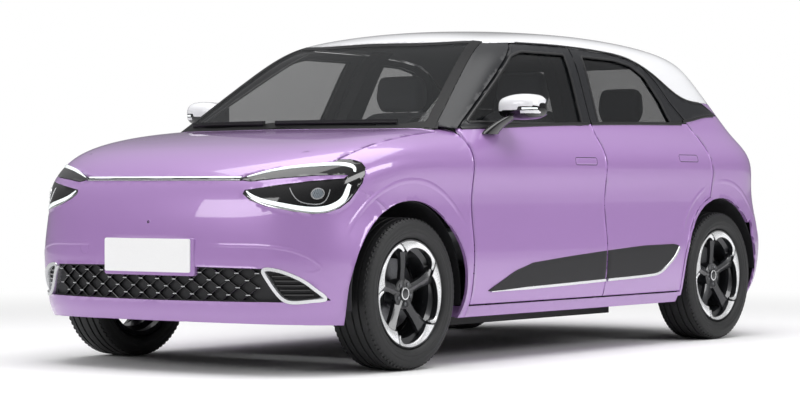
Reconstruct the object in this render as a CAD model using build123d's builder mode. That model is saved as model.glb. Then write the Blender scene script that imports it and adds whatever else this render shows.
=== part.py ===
from build123d import *
import os
from math import cos, radians, sin

import numpy as np

# An electric hatchback with five doors, in millimetres.
# +X is the car's left, -Y is its nose, +Z is up. The origin is on the ground,
# under the middle of the car.

# Overall sizes
length = 4030
width = 1800
roof_height = 1540
wheelbase = 2663
front_overhang = 712

# Wheels and tyres
tyre_radius = 324
tyre_width = 215
rim_radius = 232
bead_radius = 216
barrel_wall = 7
wheel_inset = 138
hub_radius = 62
spindle_radius = 30
spindle_clearance = 0.3
disc_radius = 150
disc_thickness = 22
spoke_count = 5

# Steering and hinges
kingpin_inset = 200
arch_radius = 394
liner_wall = 4
hinge_outboard = 3
hinge_ahead = 8
shut_gap = 7

# Skins and walls
skin = 14
door_skin = 24
door_depth = 88
door_step = 42
glass = 4
glass_inset = 9
glass_fit = 0.4
trim_fit = 0.5
floor_half = 560
liner_inner_x = 465
liner_outer_x = 838
strut_x = 600
panel_gap = 0.8
lamp_depth = 60
grille_setback = 26
grille_fit = 6
grille_reach = 245
seal_fit = 0.4
seal_gap = 6
side_lead = 6.6
lid_skin_depth = 23
sill_depth = 110
post_depth = 62

# Heights
ground_clearance = 206
door_bottom = 262
floor_top = 236

# Places along the car, from the axles
front_axle = front_overhang - length / 2
rear_axle = front_axle + wheelbase
nose_tip = -length / 2
tail_tip = length / 2
door_lead = front_axle + 435
door_split = front_axle + 1523
bulkhead_front = door_lead - 27
bulkhead_back = door_lead - 13
wheel_x = width / 2 - wheel_inset
kingpin_x = width / 2 - kingpin_inset
hub_height = tyre_radius

os.makedirs("parts", exist_ok=True)
INWARD = (-1, 0, 0)
DOWN = (0, 0, -1)


# The outer form of the body
# Guide curves are natural splines through a few points. Each gives one line of the
# body, and the blends between side, end and top are worked out from them.
def guide(points):
    at = np.array([p[0] for p in points], float)
    value = np.array([p[1] for p in points], float)
    step = np.diff(at)
    slope = np.diff(value) / step
    matrix = np.eye(len(at))
    right = np.zeros(len(at))
    for i in range(1, len(at) - 1):
        matrix[i, i - 1 : i + 2] = (step[i - 1], 2 * (step[i - 1] + step[i]), step[i])
        right[i] = 6 * (slope[i] - slope[i - 1])
    bend = np.linalg.solve(matrix, right)

    def curve(t):
        t = np.asarray(t, float)
        inside = np.clip(t, at[0], at[-1])
        i = np.clip(np.searchsorted(at, inside) - 1, 0, len(step) - 1)
        low = inside - at[i]
        high = at[i + 1] - inside
        cubic = (bend[i] * high**3 + bend[i + 1] * low**3) / (6 * step[i])
        line = (value[i] / step[i] - bend[i] * step[i] / 6) * high
        line = line + (value[i + 1] / step[i] - bend[i + 1] * step[i] / 6) * low
        first = slope[0] - step[0] * bend[1] / 6
        last = slope[-1] + step[-1] * bend[-2] / 6
        beyond = np.where(t < at[0], first * (t - at[0]), last * (t - at[-1]))
        return cubic + line + np.where(t == inside, 0, beyond)

    return curve


# Height against how far the side lies inside half the width
side_section = guide([
    (190, 62), (260, 32), (340, 14), (430, 5), (500, 4), (580, 11), (680, 20), (780, 15),
    (860, 6), (910, 11), (960, 32), (1000, 58), (1040, 86), (1100, 116), (1250, 178),
    (1450, 262), (1560, 310),
])
# Height against setback from the nose and from the tail
nose_profile = guide([
    (180, 40), (245, 17), (310, 15), (420, 5), (520, 5), (630, 14), (720, 25), (790, 45),
    (850, 90),
])
tail_profile = guide([
    (220, 55), (300, 20), (420, 3), (560, 10), (700, 45), (800, 70), (900, 90), (960, 110),
    (1040, 165),
])
# Distance behind the nose against the height of the hood on the centre line
hood_profile = guide([
    (15, 752), (55, 820), (111, 876), (175, 908), (315, 950), (515, 989), (715, 1016),
    (915, 1034), (1115, 1048),
])
# Distance behind the front axle against drop from the roof's peak
roof_profile = guide([
    (803, 78), (1103, 34), (1403, 10), (1703, 0), (2003, 2), (2303, 16), (2603, 46),
    (2903, 94),
])
plan_taper = 31
nose_bow = 0.000112
nose_corner = 550
tail_bow = 0.000085
tail_corner = 380
shoulder = 195
cowl_height = 1035
cowl_set = front_axle + 193
screen_slope = 0.62
screen_bow = 0.00004
screen_crown = front_axle + 543
backlight_slope = 0.95
backlight_foot = tail_tip - 155


def soft_max(a, b, reach):
    near = np.maximum(reach - np.abs(a - b), 0) / reach
    return np.maximum(a, b) + near**3 * reach / 6


def soft_min(a, b, reach):
    return -soft_max(-a, -b, reach)


def hood_height(x, y):
    return hood_profile(y - nose_tip - 0.00012 * x * x) - 0.00001 * x * x


def cabin_height(x, y):
    swept = y - 0.00026 * x * x
    screen = cowl_height + (swept - cowl_set) * screen_slope
    screen = screen - screen_bow * ((swept - screen_crown) ** 2 - 350**2)
    roof = roof_height - roof_profile(y - front_axle) - 0.00013 * x * x
    backlight = 1050 - (y + 0.00016 * x * x - backlight_foot) * backlight_slope
    return soft_min(soft_min(screen, roof, 110), backlight, 60)


def body_form(x, y, z, cover):
    """Below zero inside the body, about the distance to the skin in millimetres."""
    x = np.abs(x)
    half = width / 2 - side_section(z) - plan_taper * ((y - 300) / 2015) ** 2
    side = (x - half) * 0.97
    front = nose_tip + nose_profile(z) + nose_bow * x * x + 6.5e-11 * x**4 - y
    rear = y - tail_tip + tail_profile(z) + tail_bow * x * x + 8e-11 * x**4
    around = soft_max(soft_max(side, front, nose_corner), rear, tail_corner)
    top = z - (hood_height(x, y) if cover == "hood" else cabin_height(x, y))
    return soft_max(around, top, shoulder)


def reach_skin(start, aim, cover):
    """Distance from each start along each aim to the skin, by halving."""
    low = np.zeros(start.shape[:-1])
    high = np.full(start.shape[:-1], 2300.0)
    for _ in range(26):
        middle = (low + high) / 2
        x, y, z = np.moveaxis(start + aim * middle[..., None], -1, 0)
        outside = body_form(x, y, z, cover) > 0
        high = np.where(outside, middle, high)
        low = np.where(outside, low, middle)
    return (low + high) / 2


def skin_face(start, aim, cover):
    """The smooth face of the body that the rays meet."""
    points = start + aim * reach_skin(start, aim, cover)[..., None]
    rows = [[Vector(*point) for point in row] for row in points]
    return Face.make_surface_from_array_of_points(rows, tol=0.5)


def ray_grid(first, second):
    return np.meshgrid(np.array(first), np.array(second), indexing="ij")


def section_skin(y_range, angle_range, counts, cover):
    """Rays square to the car's length, from the line along its middle."""
    y, angle = ray_grid(np.linspace(*y_range, counts[0]), np.linspace(*angle_range, counts[1]))
    angle = np.radians(angle)
    nothing = np.zeros_like(y)
    start = np.stack([nothing, y, nothing + section_centre], -1)
    aim = np.stack([np.cos(angle), nothing, np.sin(angle)], -1)
    return skin_face(start, aim, cover)


def plan_skin(centre_y, angle_range, z_range, counts, cover):
    """Level rays from an upright line. The angle starts at +X and turns towards +Y."""
    angle, z = ray_grid(np.linspace(*angle_range, counts[0]), np.linspace(*z_range, counts[1]))
    angle = np.radians(angle)
    nothing = np.zeros_like(z)
    start = np.stack([nothing, nothing + centre_y, z], -1)
    aim = np.stack([np.cos(angle), np.sin(angle), nothing], -1)
    return skin_face(start, aim, cover)


def lid_skin(centre, x_range, angle_range, counts):
    """Rays from a cross-car line. The angle starts at the top and turns to the tail."""
    angle, x = ray_grid(np.linspace(*angle_range, counts[0]), np.linspace(*x_range, counts[1]))
    angle = np.radians(angle)
    nothing = np.zeros_like(x)
    start = np.stack([x, nothing + centre[0], nothing + centre[1]], -1)
    aim = np.stack([nothing, np.sin(angle), np.cos(angle)], -1)
    return skin_face(start, aim, "cabin")


def top_skin(x_range, y_range, counts, cover, foot=450):
    """Upright rays."""
    x, y = ray_grid(np.linspace(*x_range, counts[0]), np.linspace(*y_range, counts[1]))
    nothing = np.zeros_like(x)
    start = np.stack([x, y, nothing + foot], -1)
    aim = np.stack([nothing, nothing, nothing + 1], -1)
    return skin_face(start, aim, cover)


def side_at(y, z, cover="cabin"):
    """How far from the middle the skin is, at one place along the car and one height."""
    return float(reach_skin(np.array([0.0, y, z]), np.array([1.0, 0, 0]), cover))


def tail_at(x, z):
    """How far back the tail skin is behind one place across the car and one height."""
    start = np.array([x, rear_axle, z])
    return rear_axle + float(reach_skin(start, np.array([0, 1.0, 0]), "cabin"))


def top_at(x, y, cover="cabin"):
    """Height of the skin over one point."""
    return 450 + float(reach_skin(np.array([x, y, 450.0]), np.array([0, 0, 1.0]), cover))


section_centre = 650
cabin_flank = section_skin((door_lead - 95, rear_axle + 60), (-32, 62), (36, 40), "cabin")
fender_flank = section_skin((nose_tip + 300, door_lead + 30), (-32, 64), (24, 36), "hood")
roof_crown = section_skin((front_axle + 640, tail_tip - 375), (34, 146), (36, 44), "cabin")
screen_crown_face = top_skin((-775, 775), (cowl_set - 40, front_axle + 1090), (34, 22), "cabin")
hood_crown = section_skin((nose_tip + 50, cowl_set + 230), (14, 166), (36, 46), "hood")
nose_wrap = plan_skin(front_axle + 403, (-156, -24), (195, 900), (56, 26), "hood")
rear_flank = plan_skin(rear_axle - 360, (-48, 80), (195, 1440), (48, 44), "cabin")
tail_wrap = plan_skin(rear_axle - 360, (15, 165), (195, 1110), (52, 32), "cabin")
lid_crown = lid_skin((rear_axle - 360, 800), (-690, 690), (-2, 112), (46, 36))


# Outlines in side view, as (place along the car, height)
roof_line = [
    (door_lead + 718, 1448), (door_lead + 1092, 1448), (door_lead + 1503, 1432),
    (door_lead + 1678, 1410), (door_lead + 1779, 1378), (door_lead + 1897, 1318),
    (door_lead + 2009, 1250), (door_lead + 2112, 1214),
]
pillar_foot = (door_lead + 9, 1030)
pillar_head = roof_line[0]
split_head = (door_split + 82, 1448)
rear_door_edge = [
    (rear_axle - 210, 1106), (rear_axle - 152, 1020), (rear_axle - 130, 920),
    (rear_axle - 112, 830), (rear_axle - 118, 745),
]
front_window = [
    (door_lead + 82, 1062), (door_lead + 628, 1380), (door_lead + 728, 1405),
    (door_split - 2, 1405), (door_split - 30, 1250), (door_split - 68, 1068),
]
rear_window = [
    (door_split + 78, 1074), (door_split + 118, 1250), (door_split + 150, 1402),
    (rear_axle - 700, 1396), (rear_axle - 560, 1374), (rear_axle - 462, 1318),
    (rear_axle - 392, 1200), (rear_axle - 360, 1090),
]


screen_foot = [(736, cowl_set + 142), (524, cowl_set + 33), (0, cowl_set - 2)]
screen_head = [(533, front_axle + 1004), (355, front_axle + 916), (0, front_axle + 878)]
hood_front = [(0, nose_tip + 90), (209, nose_tip + 98), (434, nose_tip + 122),
              (534, nose_tip + 166), (629, nose_tip + 216), (736, nose_tip + 292)]
hood_side = [(754, nose_tip + 345), (772, nose_tip + 470), (776, nose_tip + 610),
             (773, nose_tip + 750), (758, cowl_set + 122)]
lid_half = [(566, 661), (566, 1010), (556, 1100), (530, 1330), (530, 1700)]
lid_top = rear_axle - 190
lid_glass_half = [(486, 1098), (452, 1392)]


def mirrored(points):
    """The points and their mirror images, in order round a symmetric outline."""
    return points + [(-x, y) for x, y in reversed(points) if x]


def moved(points, along, up):
    return [(x + along * (x > 0), y + up) for x, y in points]


def both_sides(points):
    """Points from one side to the middle, carried on to the other side."""
    return [(-x, y) for x, y in points] + points[-2::-1]


def screen_outline(grow=0.0, mode=Mode.ADD):
    """The windscreen seen from above, grown by a margin."""
    with BuildLine() as line:
        foot = Spline(*both_sides(moved(screen_foot, grow, -grow)))
        head = Spline(*both_sides(moved(screen_head, grow, grow)))
        Line(foot @ 0, head @ 0)
        Line(foot @ 1, head @ 1)
    make_face(line.edges(), mode=mode)


def hood_outline(grow=0.0, mode=Mode.ADD):
    """The hood seen from above, grown by a margin."""
    side = moved(hood_side, grow, 0)
    corner = (side[-1][0], side[-1][1] + grow)
    rear = [corner, (524, cowl_set + 24 + grow), (0, cowl_set - 11 + grow)]
    with BuildLine() as line:
        lead = Spline(*both_sides(moved(hood_front[::-1], 0, -grow)))
        Spline(lead @ 1, *side[:-1], corner)
        Spline(lead @ 0, *[(-x, y) for x, y in side[:-1]], (-corner[0], corner[1]))
        Spline(*both_sides(rear))
    make_face(line.edges(), mode=mode)


def shape(points, grow=0.0, mode=Mode.ADD, corner=0.0):
    """A closed straight-sided outline, grown by a margin, with its corners rounded."""
    with BuildLine() as line:
        Polyline(*points, close=True)
    face = make_face(line.edges(), mode=Mode.PRIVATE).face()
    if corner:
        face = face.fillet_2d(corner, face.vertices())
    if grow:
        face = offset(face, amount=grow, kind=Kind.INTERSECTION, mode=Mode.PRIVATE)
    add(face, mode=mode)


def lowered(points, drop):
    return [(y, z - drop) for y, z in points]


front_door_points = [
    (door_lead, door_bottom), (door_lead, 1020), pillar_foot,
    (pillar_head[0], pillar_head[1] - shut_gap), (split_head[0] - shut_gap, 1448 - shut_gap),
    (door_split - shut_gap, 1000), (door_split - shut_gap, door_bottom),
]
rear_door_points = (
    [(door_split, door_bottom), (door_split, 1000), (split_head[0], 1448 - shut_gap)]
    + lowered(roof_line[2:5], shut_gap + 1)
    + [(rear_axle - 372, 1300), (rear_axle - 300, 1195)]
    + rear_door_edge
    + [(rear_axle - 130, door_bottom)]
)


def front_door_outline(grow=0.0):
    shape(front_door_points, grow)


def rear_door_outline(grow=0.0):
    """Cut off at its tail by the rear wheel arch."""
    shape(rear_door_points, grow)
    with Locations((rear_axle, hub_height)):
        Circle(arch_radius + 24 - grow, mode=Mode.SUBTRACT)


def cut_through(amount=2 * width, mode=Mode.INTERSECT):
    """Carries the pending outline both ways and keeps or removes what lies in it."""
    extrude(amount=amount, both=True, mode=mode)


# Doors
def make_door(outline, window, core_top):
    """A skin with the window frame, backed by a thick core below the belt."""
    with BuildPart() as core:
        extrude(to_extrude=cabin_flank, amount=door_depth, dir=INWARD)
        with BuildSketch(Plane.YZ):
            outline(-door_step)
            with Locations((door_split, core_top + 500)):
                Rectangle(length, 1000, mode=Mode.SUBTRACT)
        cut_through()
    with BuildPart() as door:
        extrude(to_extrude=cabin_flank, amount=door_skin, dir=INWARD)
        with BuildSketch(Plane.YZ):
            outline()
            shape(window, mode=Mode.SUBTRACT)
        cut_through()
        add(core.part)
    return door.part


with BuildPart() as front_door_left:
    add(make_door(front_door_outline, front_window, 1020))

with BuildPart() as rear_door_left:
    add(make_door(rear_door_outline, rear_window, 1040))


def make_door_glass(window):
    with BuildPart() as pane:
        outer = cabin_flank.moved(Location((-glass_inset, 0, 0)))
        extrude(to_extrude=outer, amount=glass, dir=INWARD)
        with BuildSketch(Plane.YZ):
            shape(window, -glass_fit)
        cut_through()
    return pane.part


with BuildPart() as front_glass_left:
    add(make_door_glass(front_window))

with BuildPart() as rear_glass_left:
    add(make_door_glass(rear_window))

# Hood
with BuildPart() as hood:
    extrude(to_extrude=hood_crown, amount=skin, dir=DOWN)
    with BuildSketch(Plane.XY):
        hood_outline()
    cut_through()

# Outlines of the lamps
# Lamp outlines are drawn on a plane that faces the front corner of the car.
corner_turn = 38
lamp_plane = Plane(
    origin=(0, 0, 0),
    x_dir=(cos(radians(corner_turn)), sin(radians(corner_turn)), 0),
    z_dir=(sin(radians(corner_turn)), -cos(radians(corner_turn)), 0),
)
bar_half = 436
bar_low = 801
bar_high = 829
lamp_blade = [(438, 803), (434, 831), (534, 856), (629, 875), (736, 888), (787, 891), (818, 879)]
lamp_back = [(834, 856), (839, 826), (838, 792)]
lamp_drop = [(831, 759), (820, 717), (805, 688), (781, 670), (744, 665), (680, 676), (575, 697),
             (501, 722), (466, 746), (470, 763)]
lamp_notch = [(608, 784), (724, 800), (806, 812), (811, 824), (733, 822), (592, 809), (482, 797)]


def nose_at(x, z):
    """The nose skin straight ahead of one place across the car and one height."""
    start = np.array([x, nose_tip + 560.0, z])
    return nose_tip + 560 - float(reach_skin(start, np.array([0, -1.0, 0]), "hood"))


def on_lamp_plane(x, z):
    return (Vector(x, nose_at(x, z), z).dot(lamp_plane.x_dir), z)


lamp_points = [on_lamp_plane(x, z) for x, z in lamp_blade + lamp_back + lamp_drop + lamp_notch]


def lamp_cut(grow=0.0):
    """Everything in front of and behind one lamp's outline."""
    with BuildSketch(lamp_plane) as seen:
        shape(lamp_points, grow)
    return extrude(seen.sketch, amount=2300, mode=Mode.PRIVATE)


# Front fenders
with BuildPart() as fender_left:
    thicken(fender_flank, amount=-skin)
    with BuildSketch(Plane.YZ):
        shape([
            (door_lead - shut_gap, ground_clearance), (door_lead - shut_gap, 1030),
            (door_lead - 80, 1040), (nose_tip + 300, 1040), (nose_tip + 345, 893),
            (nose_tip + 364, 860), (nose_tip + 350, 787), (nose_tip + 402, 759),
            (nose_tip + 477, 723), (nose_tip + 556, 675), (nose_tip + 700, 500),
            (front_axle + 200, ground_clearance),
        ])
        with Locations((front_axle, hub_height)):
            Circle(arch_radius, mode=Mode.SUBTRACT)
    cut_through()
    with BuildSketch(Plane.XY):
        hood_outline(shut_gap)
        screen_outline(4)
    cut_through(mode=Mode.SUBTRACT)
    add(lamp_cut(), mode=Mode.SUBTRACT)
with BuildPart() as front_fenders:
    add(fender_left.part)
    mirror(about=Plane.YZ)

# Windscreen
with BuildPart() as windscreen:
    extrude(to_extrude=screen_crown_face, amount=6, dir=DOWN)
    with BuildSketch(Plane.XY):
        screen_outline()
    cut_through()

# Roof with its rear pillars
with BuildPart() as roof_panel:
    thicken(roof_crown, amount=-22)
    with BuildSketch(Plane.YZ):
        shape(
            [(front_axle + 640, 1440), (front_axle + 1000, 1440)]
            + roof_line
            + [(rear_axle + 42, 1204), (tail_tip - 375, 1200), (tail_tip - 375, 1700),
               (front_axle + 640, 1700)]
        )
    cut_through()
    with BuildSketch(Plane.XY):
        screen_outline(3)
    cut_through(mode=Mode.SUBTRACT)
    with BuildSketch(Plane.XZ.offset(-lid_top + shut_gap)):
        shape(mirrored(lid_half), shut_gap)
    extrude(amount=-1500, mode=Mode.SUBTRACT)


# Side panels behind the rear doors
tail_lamp_points = [(578, 985), (578, 870), (720, 850), (812, 872), (800, 930), (700, 985)]
tail_joint = [(rear_axle + 300, 600), (tail_tip - 200, 652), (tail_tip + 60, 655)]


def lid_outline(grow=0.0):
    """What lies behind the tailgate's outline, from its top joint to the tail."""
    with BuildSketch(Plane.XZ.offset(grow - lid_top)) as seen:
        shape(mirrored(lid_half), grow)
    return extrude(seen.sketch, amount=-1500, mode=Mode.PRIVATE)


with BuildPart() as quarter_left:
    thicken(rear_flank, amount=-18)
    with BuildSketch(Plane.YZ):
        shape(
            [(rear_axle - 460, floor_top), (rear_axle - 460, 1095), (rear_axle - 262, 1100),
             (rear_axle + 15, 1134), (tail_tip - 467, 1139.6), (rear_axle + 46, 1203),
             (tail_tip - 375, 1199.2), (tail_tip + 60, 1192)]
            + tail_joint[::-1]
            + [(rear_axle, 300), (rear_axle - 396, floor_top)]
        )
        with Locations((rear_axle, hub_height)):
            Circle(arch_radius, mode=Mode.SUBTRACT)
    cut_through()
    with BuildSketch(Plane.YZ):
        rear_door_outline(shut_gap)
    cut_through(mode=Mode.SUBTRACT)
    add(lid_outline(shut_gap), mode=Mode.SUBTRACT)
    with BuildSketch(Plane.XZ.offset(-rear_axle - 200)):
        shape(tail_lamp_points)
    extrude(amount=-length, mode=Mode.SUBTRACT)

# Sill, pillar between the doors, and the walls across the body
with BuildPart() as side_left:
    extrude(to_extrude=cabin_flank, amount=sill_depth, dir=INWARD)
    with BuildSketch(Plane.YZ):
        shape([
            (door_lead - side_lead, ground_clearance), (door_lead - side_lead, door_bottom - shut_gap),
            (rear_axle - 410, door_bottom - shut_gap), (rear_axle - 416, ground_clearance),
        ])
    cut_through()
with BuildPart() as post_left:
    inner = cabin_flank.moved(Location((-door_depth - seal_gap, 0, 0)))
    extrude(to_extrude=inner, amount=post_depth, dir=INWARD)
    with BuildSketch(Plane.YZ):
        shape([
            (door_split - 84, floor_top + 1), (door_split - 76, 1000),
            (door_split + 30, 1452), (door_split + 130, 1452), (door_split + 66, 1000),
            (door_split + 66, floor_top + 1),
        ])
    cut_through()
# Pads on the pillar that the shut doors bear on
with BuildPart() as pads_left:
    extrude(to_extrude=inner.moved(Location((seal_gap - seal_fit, 0, 0))), amount=2 * seal_gap, dir=INWARD)
    with BuildSketch(Plane.YZ):
        with Locations((door_split - 63, 700), (door_split + 54, 700)):
            Rectangle(24, 120)
    cut_through()
with BuildPart() as body_shell:
    add(side_left.part)
    add(post_left.part)
    add(pads_left.part)
    add(quarter_left.part)
    mirror(about=Plane.YZ)
    with Locations((0, (bulkhead_front + bulkhead_back) / 2, floor_top)):
        Box(1480, 14, 740, align=(Align.CENTER, Align.CENTER, Align.MIN))
    with Locations((725, door_lead - 5, floor_top + 9), (-725, door_lead - 5, floor_top + 9)):
        Box(70, 44, 18)

# Pillars at the windscreen and the trim behind the rear doors
with BuildPart() as front_pillar_left:
    thicken(cabin_flank, amount=-20)
    with BuildSketch(Plane.YZ):
        shape([
            (door_lead - 110, 1045), (front_axle + 860, 1439.5), (front_axle + 1000, 1439.5),
            (pillar_head[0] - 14, 1446.5), (pillar_foot[0] - 14, 1030.5), (door_lead - 80, 1041),
        ])
    cut_through()
    with BuildSketch(Plane.XY):
        screen_outline(trim_fit)
    cut_through(mode=Mode.SUBTRACT)
with BuildPart() as quarter_trim_left:
    thicken(rear_flank, amount=-18)
    with BuildSketch(Plane.YZ):
        shape(
            [(rear_axle - 440, 1095 + trim_fit), (rear_axle - 262, 1100 + trim_fit),
             (rear_axle + 15, 1134 + trim_fit), (tail_tip - 470, 1140 + trim_fit)]
            + [(rear_axle + 42, 1204 - trim_fit)]
            + lowered(roof_line[:3:-1], trim_fit)
            + [(rear_axle - 470, 1378)]
        )
    cut_through()
    with BuildSketch(Plane.YZ):
        rear_door_outline(shut_gap)
    cut_through(mode=Mode.SUBTRACT)
with BuildPart() as pillar_trims:
    add(front_pillar_left.part)
    add(quarter_trim_left.part)
    mirror(about=Plane.YZ)

# Tailgate
with BuildPart() as tailgate:
    thicken(lid_crown, amount=22)
    add(lid_outline(), mode=Mode.INTERSECT)
    with BuildSketch(Plane.XZ.offset(-rear_axle)):
        shape(mirrored(lid_glass_half))
    extrude(amount=-1500, mode=Mode.SUBTRACT)
with BuildPart() as tailgate_glass:
    thicken(lid_crown.moved(Location((0, -6, -6))), amount=glass)
    with BuildSketch(Plane.XZ.offset(-rear_axle)):
        shape(mirrored(lid_glass_half), -glass_fit)
    extrude(amount=-1500, mode=Mode.INTERSECT)


# Front bumper, with the lamps and the bar between them
with BuildPart() as lamp_left:
    thicken(nose_wrap.moved(Location((0, 4, 0))), amount=-lamp_depth)
    add(lamp_cut(-panel_gap), mode=Mode.INTERSECT)
    with BuildSketch(Plane.XY):
        hood_outline(shut_gap)
    cut_through(mode=Mode.SUBTRACT)
    with Locations((0, nose_tip, bar_high)):
        Box(2 * bar_half, length, 400, mode=Mode.SUBTRACT)
with BuildPart() as headlamps:
    add(lamp_left.part)
    mirror(about=Plane.YZ)

with BuildPart() as light_bar:
    thicken(nose_wrap, amount=-lamp_depth)
    with BuildSketch(Plane.XZ):
        shape(mirrored([(bar_half - 2, bar_low + panel_gap), (bar_half - 6, bar_high - panel_gap)]))
    extrude(amount=length, mode=Mode.INTERSECT)
    with BuildSketch(Plane.XY):
        hood_outline(shut_gap)
    cut_through(mode=Mode.SUBTRACT)

grille_points = [(0, 449), (578, 442), (640, 437), (676, 424), (732, 392), (768, 354), (790, 312),
                 (700, 305), (0, 303)]
bumper_back = [
    (nose_tip + 364 - panel_gap, 860), (nose_tip + 350, 787), (nose_tip + 402, 759),
    (nose_tip + 477, 723), (nose_tip + 556, 675), (nose_tip + 700, 500),
    (front_axle + 200, ground_clearance - 20),
]
with BuildPart() as front_bumper:
    thicken(nose_wrap, amount=-skin)
    with BuildSketch(Plane.YZ):
        shape(
            [(nose_tip - 40, ground_clearance + 12), (nose_tip - 40, bar_high - 3)]
            + [(nose_tip + 300, bar_high - 3), (nose_tip + 340, 860)]
            + [(y - panel_gap, z) for y, z in bumper_back]
        )
        with Locations((front_axle, hub_height)):
            Circle(arch_radius, mode=Mode.SUBTRACT)
    cut_through()
    with BuildSketch(Plane.XZ):
        shape(mirrored(grille_points))
        shape(mirrored([(bar_half + 1, bar_low), (bar_half + 1, bar_high + 40)]))
    extrude(amount=length, mode=Mode.SUBTRACT)
    left = lamp_cut()
    add(left, mode=Mode.SUBTRACT)
    add(left.mirror(Plane.YZ), mode=Mode.SUBTRACT)

# Lower grille, set back in its opening
with BuildPart() as lower_grille:
    thicken(nose_wrap, amount=-grille_setback - 8)
    with BuildSketch(Plane.XZ):
        shape(mirrored(grille_points), 12)
    extrude(amount=length, mode=Mode.INTERSECT)
    thicken(nose_wrap, amount=-skin - seal_fit, mode=Mode.SUBTRACT)
    with BuildSketch(Plane.XZ):
        shape(mirrored(grille_points), -grille_fit)
    well = extrude(amount=length, mode=Mode.PRIVATE)
    add(thicken(nose_wrap, amount=-grille_setback, mode=Mode.PRIVATE) & well, mode=Mode.SUBTRACT)
    with Locations((0, nose_tip + grille_reach, 0)):
        Box(2 * width, length, 2 * bar_high, align=(Align.CENTER, Align.MIN, Align.CENTER), mode=Mode.SUBTRACT)

# Rear bumper and tail lamps
with BuildPart() as rear_bumper:
    thicken(tail_wrap, amount=-skin)
    with BuildSketch(Plane.YZ):
        shape(
            [(y, z - panel_gap) for y, z in tail_joint]
            + [(tail_tip + 60, ground_clearance + 30), (tail_tip - 250, ground_clearance + 14),
               (rear_axle + 200, ground_clearance + 14)]
        )
        with Locations((rear_axle, hub_height)):
            Circle(arch_radius, mode=Mode.SUBTRACT)
    cut_through()
    with BuildSketch(Plane.XY):
        with Locations((0, rear_axle + 100)):
            Rectangle(2 * width, 480, mode=Mode.ADD)
    cut_through(mode=Mode.SUBTRACT)

with BuildPart() as tail_lamp_left:
    thicken(rear_flank, amount=-lamp_depth)
    with BuildSketch(Plane.XZ.offset(-rear_axle - 200)):
        shape(tail_lamp_points, -panel_gap)
    extrude(amount=-length, mode=Mode.INTERSECT)
with BuildPart() as tail_lamps:
    add(tail_lamp_left.part)
    mirror(about=Plane.YZ)


# Wheels and tyres, drawn about the wheel's own axle, outboard along +X
def ring_of(points, mode=Mode.ADD):
    """Turns a closed outline of (outboard, radius) points about the axle."""
    with BuildSketch(Plane.XY) as section:
        with BuildLine() as line:
            Polyline(*points, close=True)
        make_face(line.edges())
    return revolve(section.sketch, axis=Axis.X, mode=mode)


rim_half = 93
tyre_half = tyre_width / 2
well_radius = bead_radius - 20
barrel = [
    (rim_half, rim_radius - 3), (rim_half - 4, rim_radius), (rim_half - 9, rim_radius - 2),
    (rim_half - 13, bead_radius + 2), (rim_half - 35, bead_radius), (rim_half - 46, well_radius),
    (-30, well_radius), (-56, bead_radius), (13 - rim_half, bead_radius + 2),
    (9 - rim_half, rim_radius - 2), (4 - rim_half, rim_radius), (-rim_half, rim_radius - 3),
    (6 - rim_half, bead_radius - 6), (-54, bead_radius - barrel_wall), (-28, well_radius - barrel_wall),
    (rim_half - 44, well_radius - barrel_wall), (rim_half - 32, bead_radius - barrel_wall),
    (rim_half - 6, bead_radius - 6),
]
face_dish = [
    (52, 34), (66, 34), (70, 70), (76, 140), (84, bead_radius - 8), (60, bead_radius - 8),
    (54, 140), (48, 70),
]
hub_outline = [
    (-30, spindle_radius + spindle_clearance), (48, spindle_radius + spindle_clearance), (48, 0),
    (66, 0), (66, hub_radius - 26), (60, hub_radius), (-6, hub_radius), (-6, disc_radius),
    (-6 - disc_thickness, disc_radius), (-6 - disc_thickness, hub_radius - 6), (-30, hub_radius - 6),
]
window = [(-13, 84), (13, 84), (64, 178), (50, 196), (0, 203), (-50, 196), (-64, 178)]
slot = [(-5, 118), (5, 118), (12, 190), (-12, 190)]
with BuildPart() as wheel_blank:
    ring_of(face_dish)
    with BuildSketch(Plane.YZ):
        with PolarLocations(0, spoke_count, start_angle=54):
            with BuildLine() as line:
                Polyline(*[(r, t) for t, r in window], close=True)
            make_face(line.edges())
        with PolarLocations(0, spoke_count, start_angle=90):
            with BuildLine() as line:
                Polyline(*[(r, t) for t, r in slot], close=True)
            make_face(line.edges())
    extrude(amount=120, mode=Mode.SUBTRACT)
    ring_of(barrel)
    ring_of(hub_outline)

tyre_outline = [
    (tyre_half - 12, rim_radius + 5), (tyre_half - 2, rim_radius + 26), (tyre_half, 276),
    (tyre_half - 4, 300), (tyre_half - 14, tyre_radius - 8), (tyre_half - 32, tyre_radius - 1),
    (0, tyre_radius),
]
bead = [(rim_half - 13.5, rim_radius + 2), (rim_half - 14, bead_radius + 3), (rim_half - 34, bead_radius + 1)]
inside = [(rim_half - 36, 236), (rim_half - 8, 262), (rim_half - 8, 290), (rim_half - 22, 306), (0, 310)]


def both_ends(points):
    """Half an outline from the outboard end, carried on to the inboard end."""
    return points + [(-u, r) for u, r in reversed(points) if u]


with BuildPart() as tyre_blank:
    ring_of(
        both_ends(bead[::-1] + tyre_outline)
        + [(-u, r) for u, r in inside[:-1]]
        + inside[::-1]
    )


def set_wheel(blank, side, axle):
    """One wheel or tyre in its place: side is 1 for the left and -1 for the right."""
    with BuildPart() as placed:
        add(blank.part.moved(Location((wheel_x, axle, hub_height))))
        if side < 0:
            mirror(about=Plane.YZ, mode=Mode.REPLACE)
    return placed.part


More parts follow.
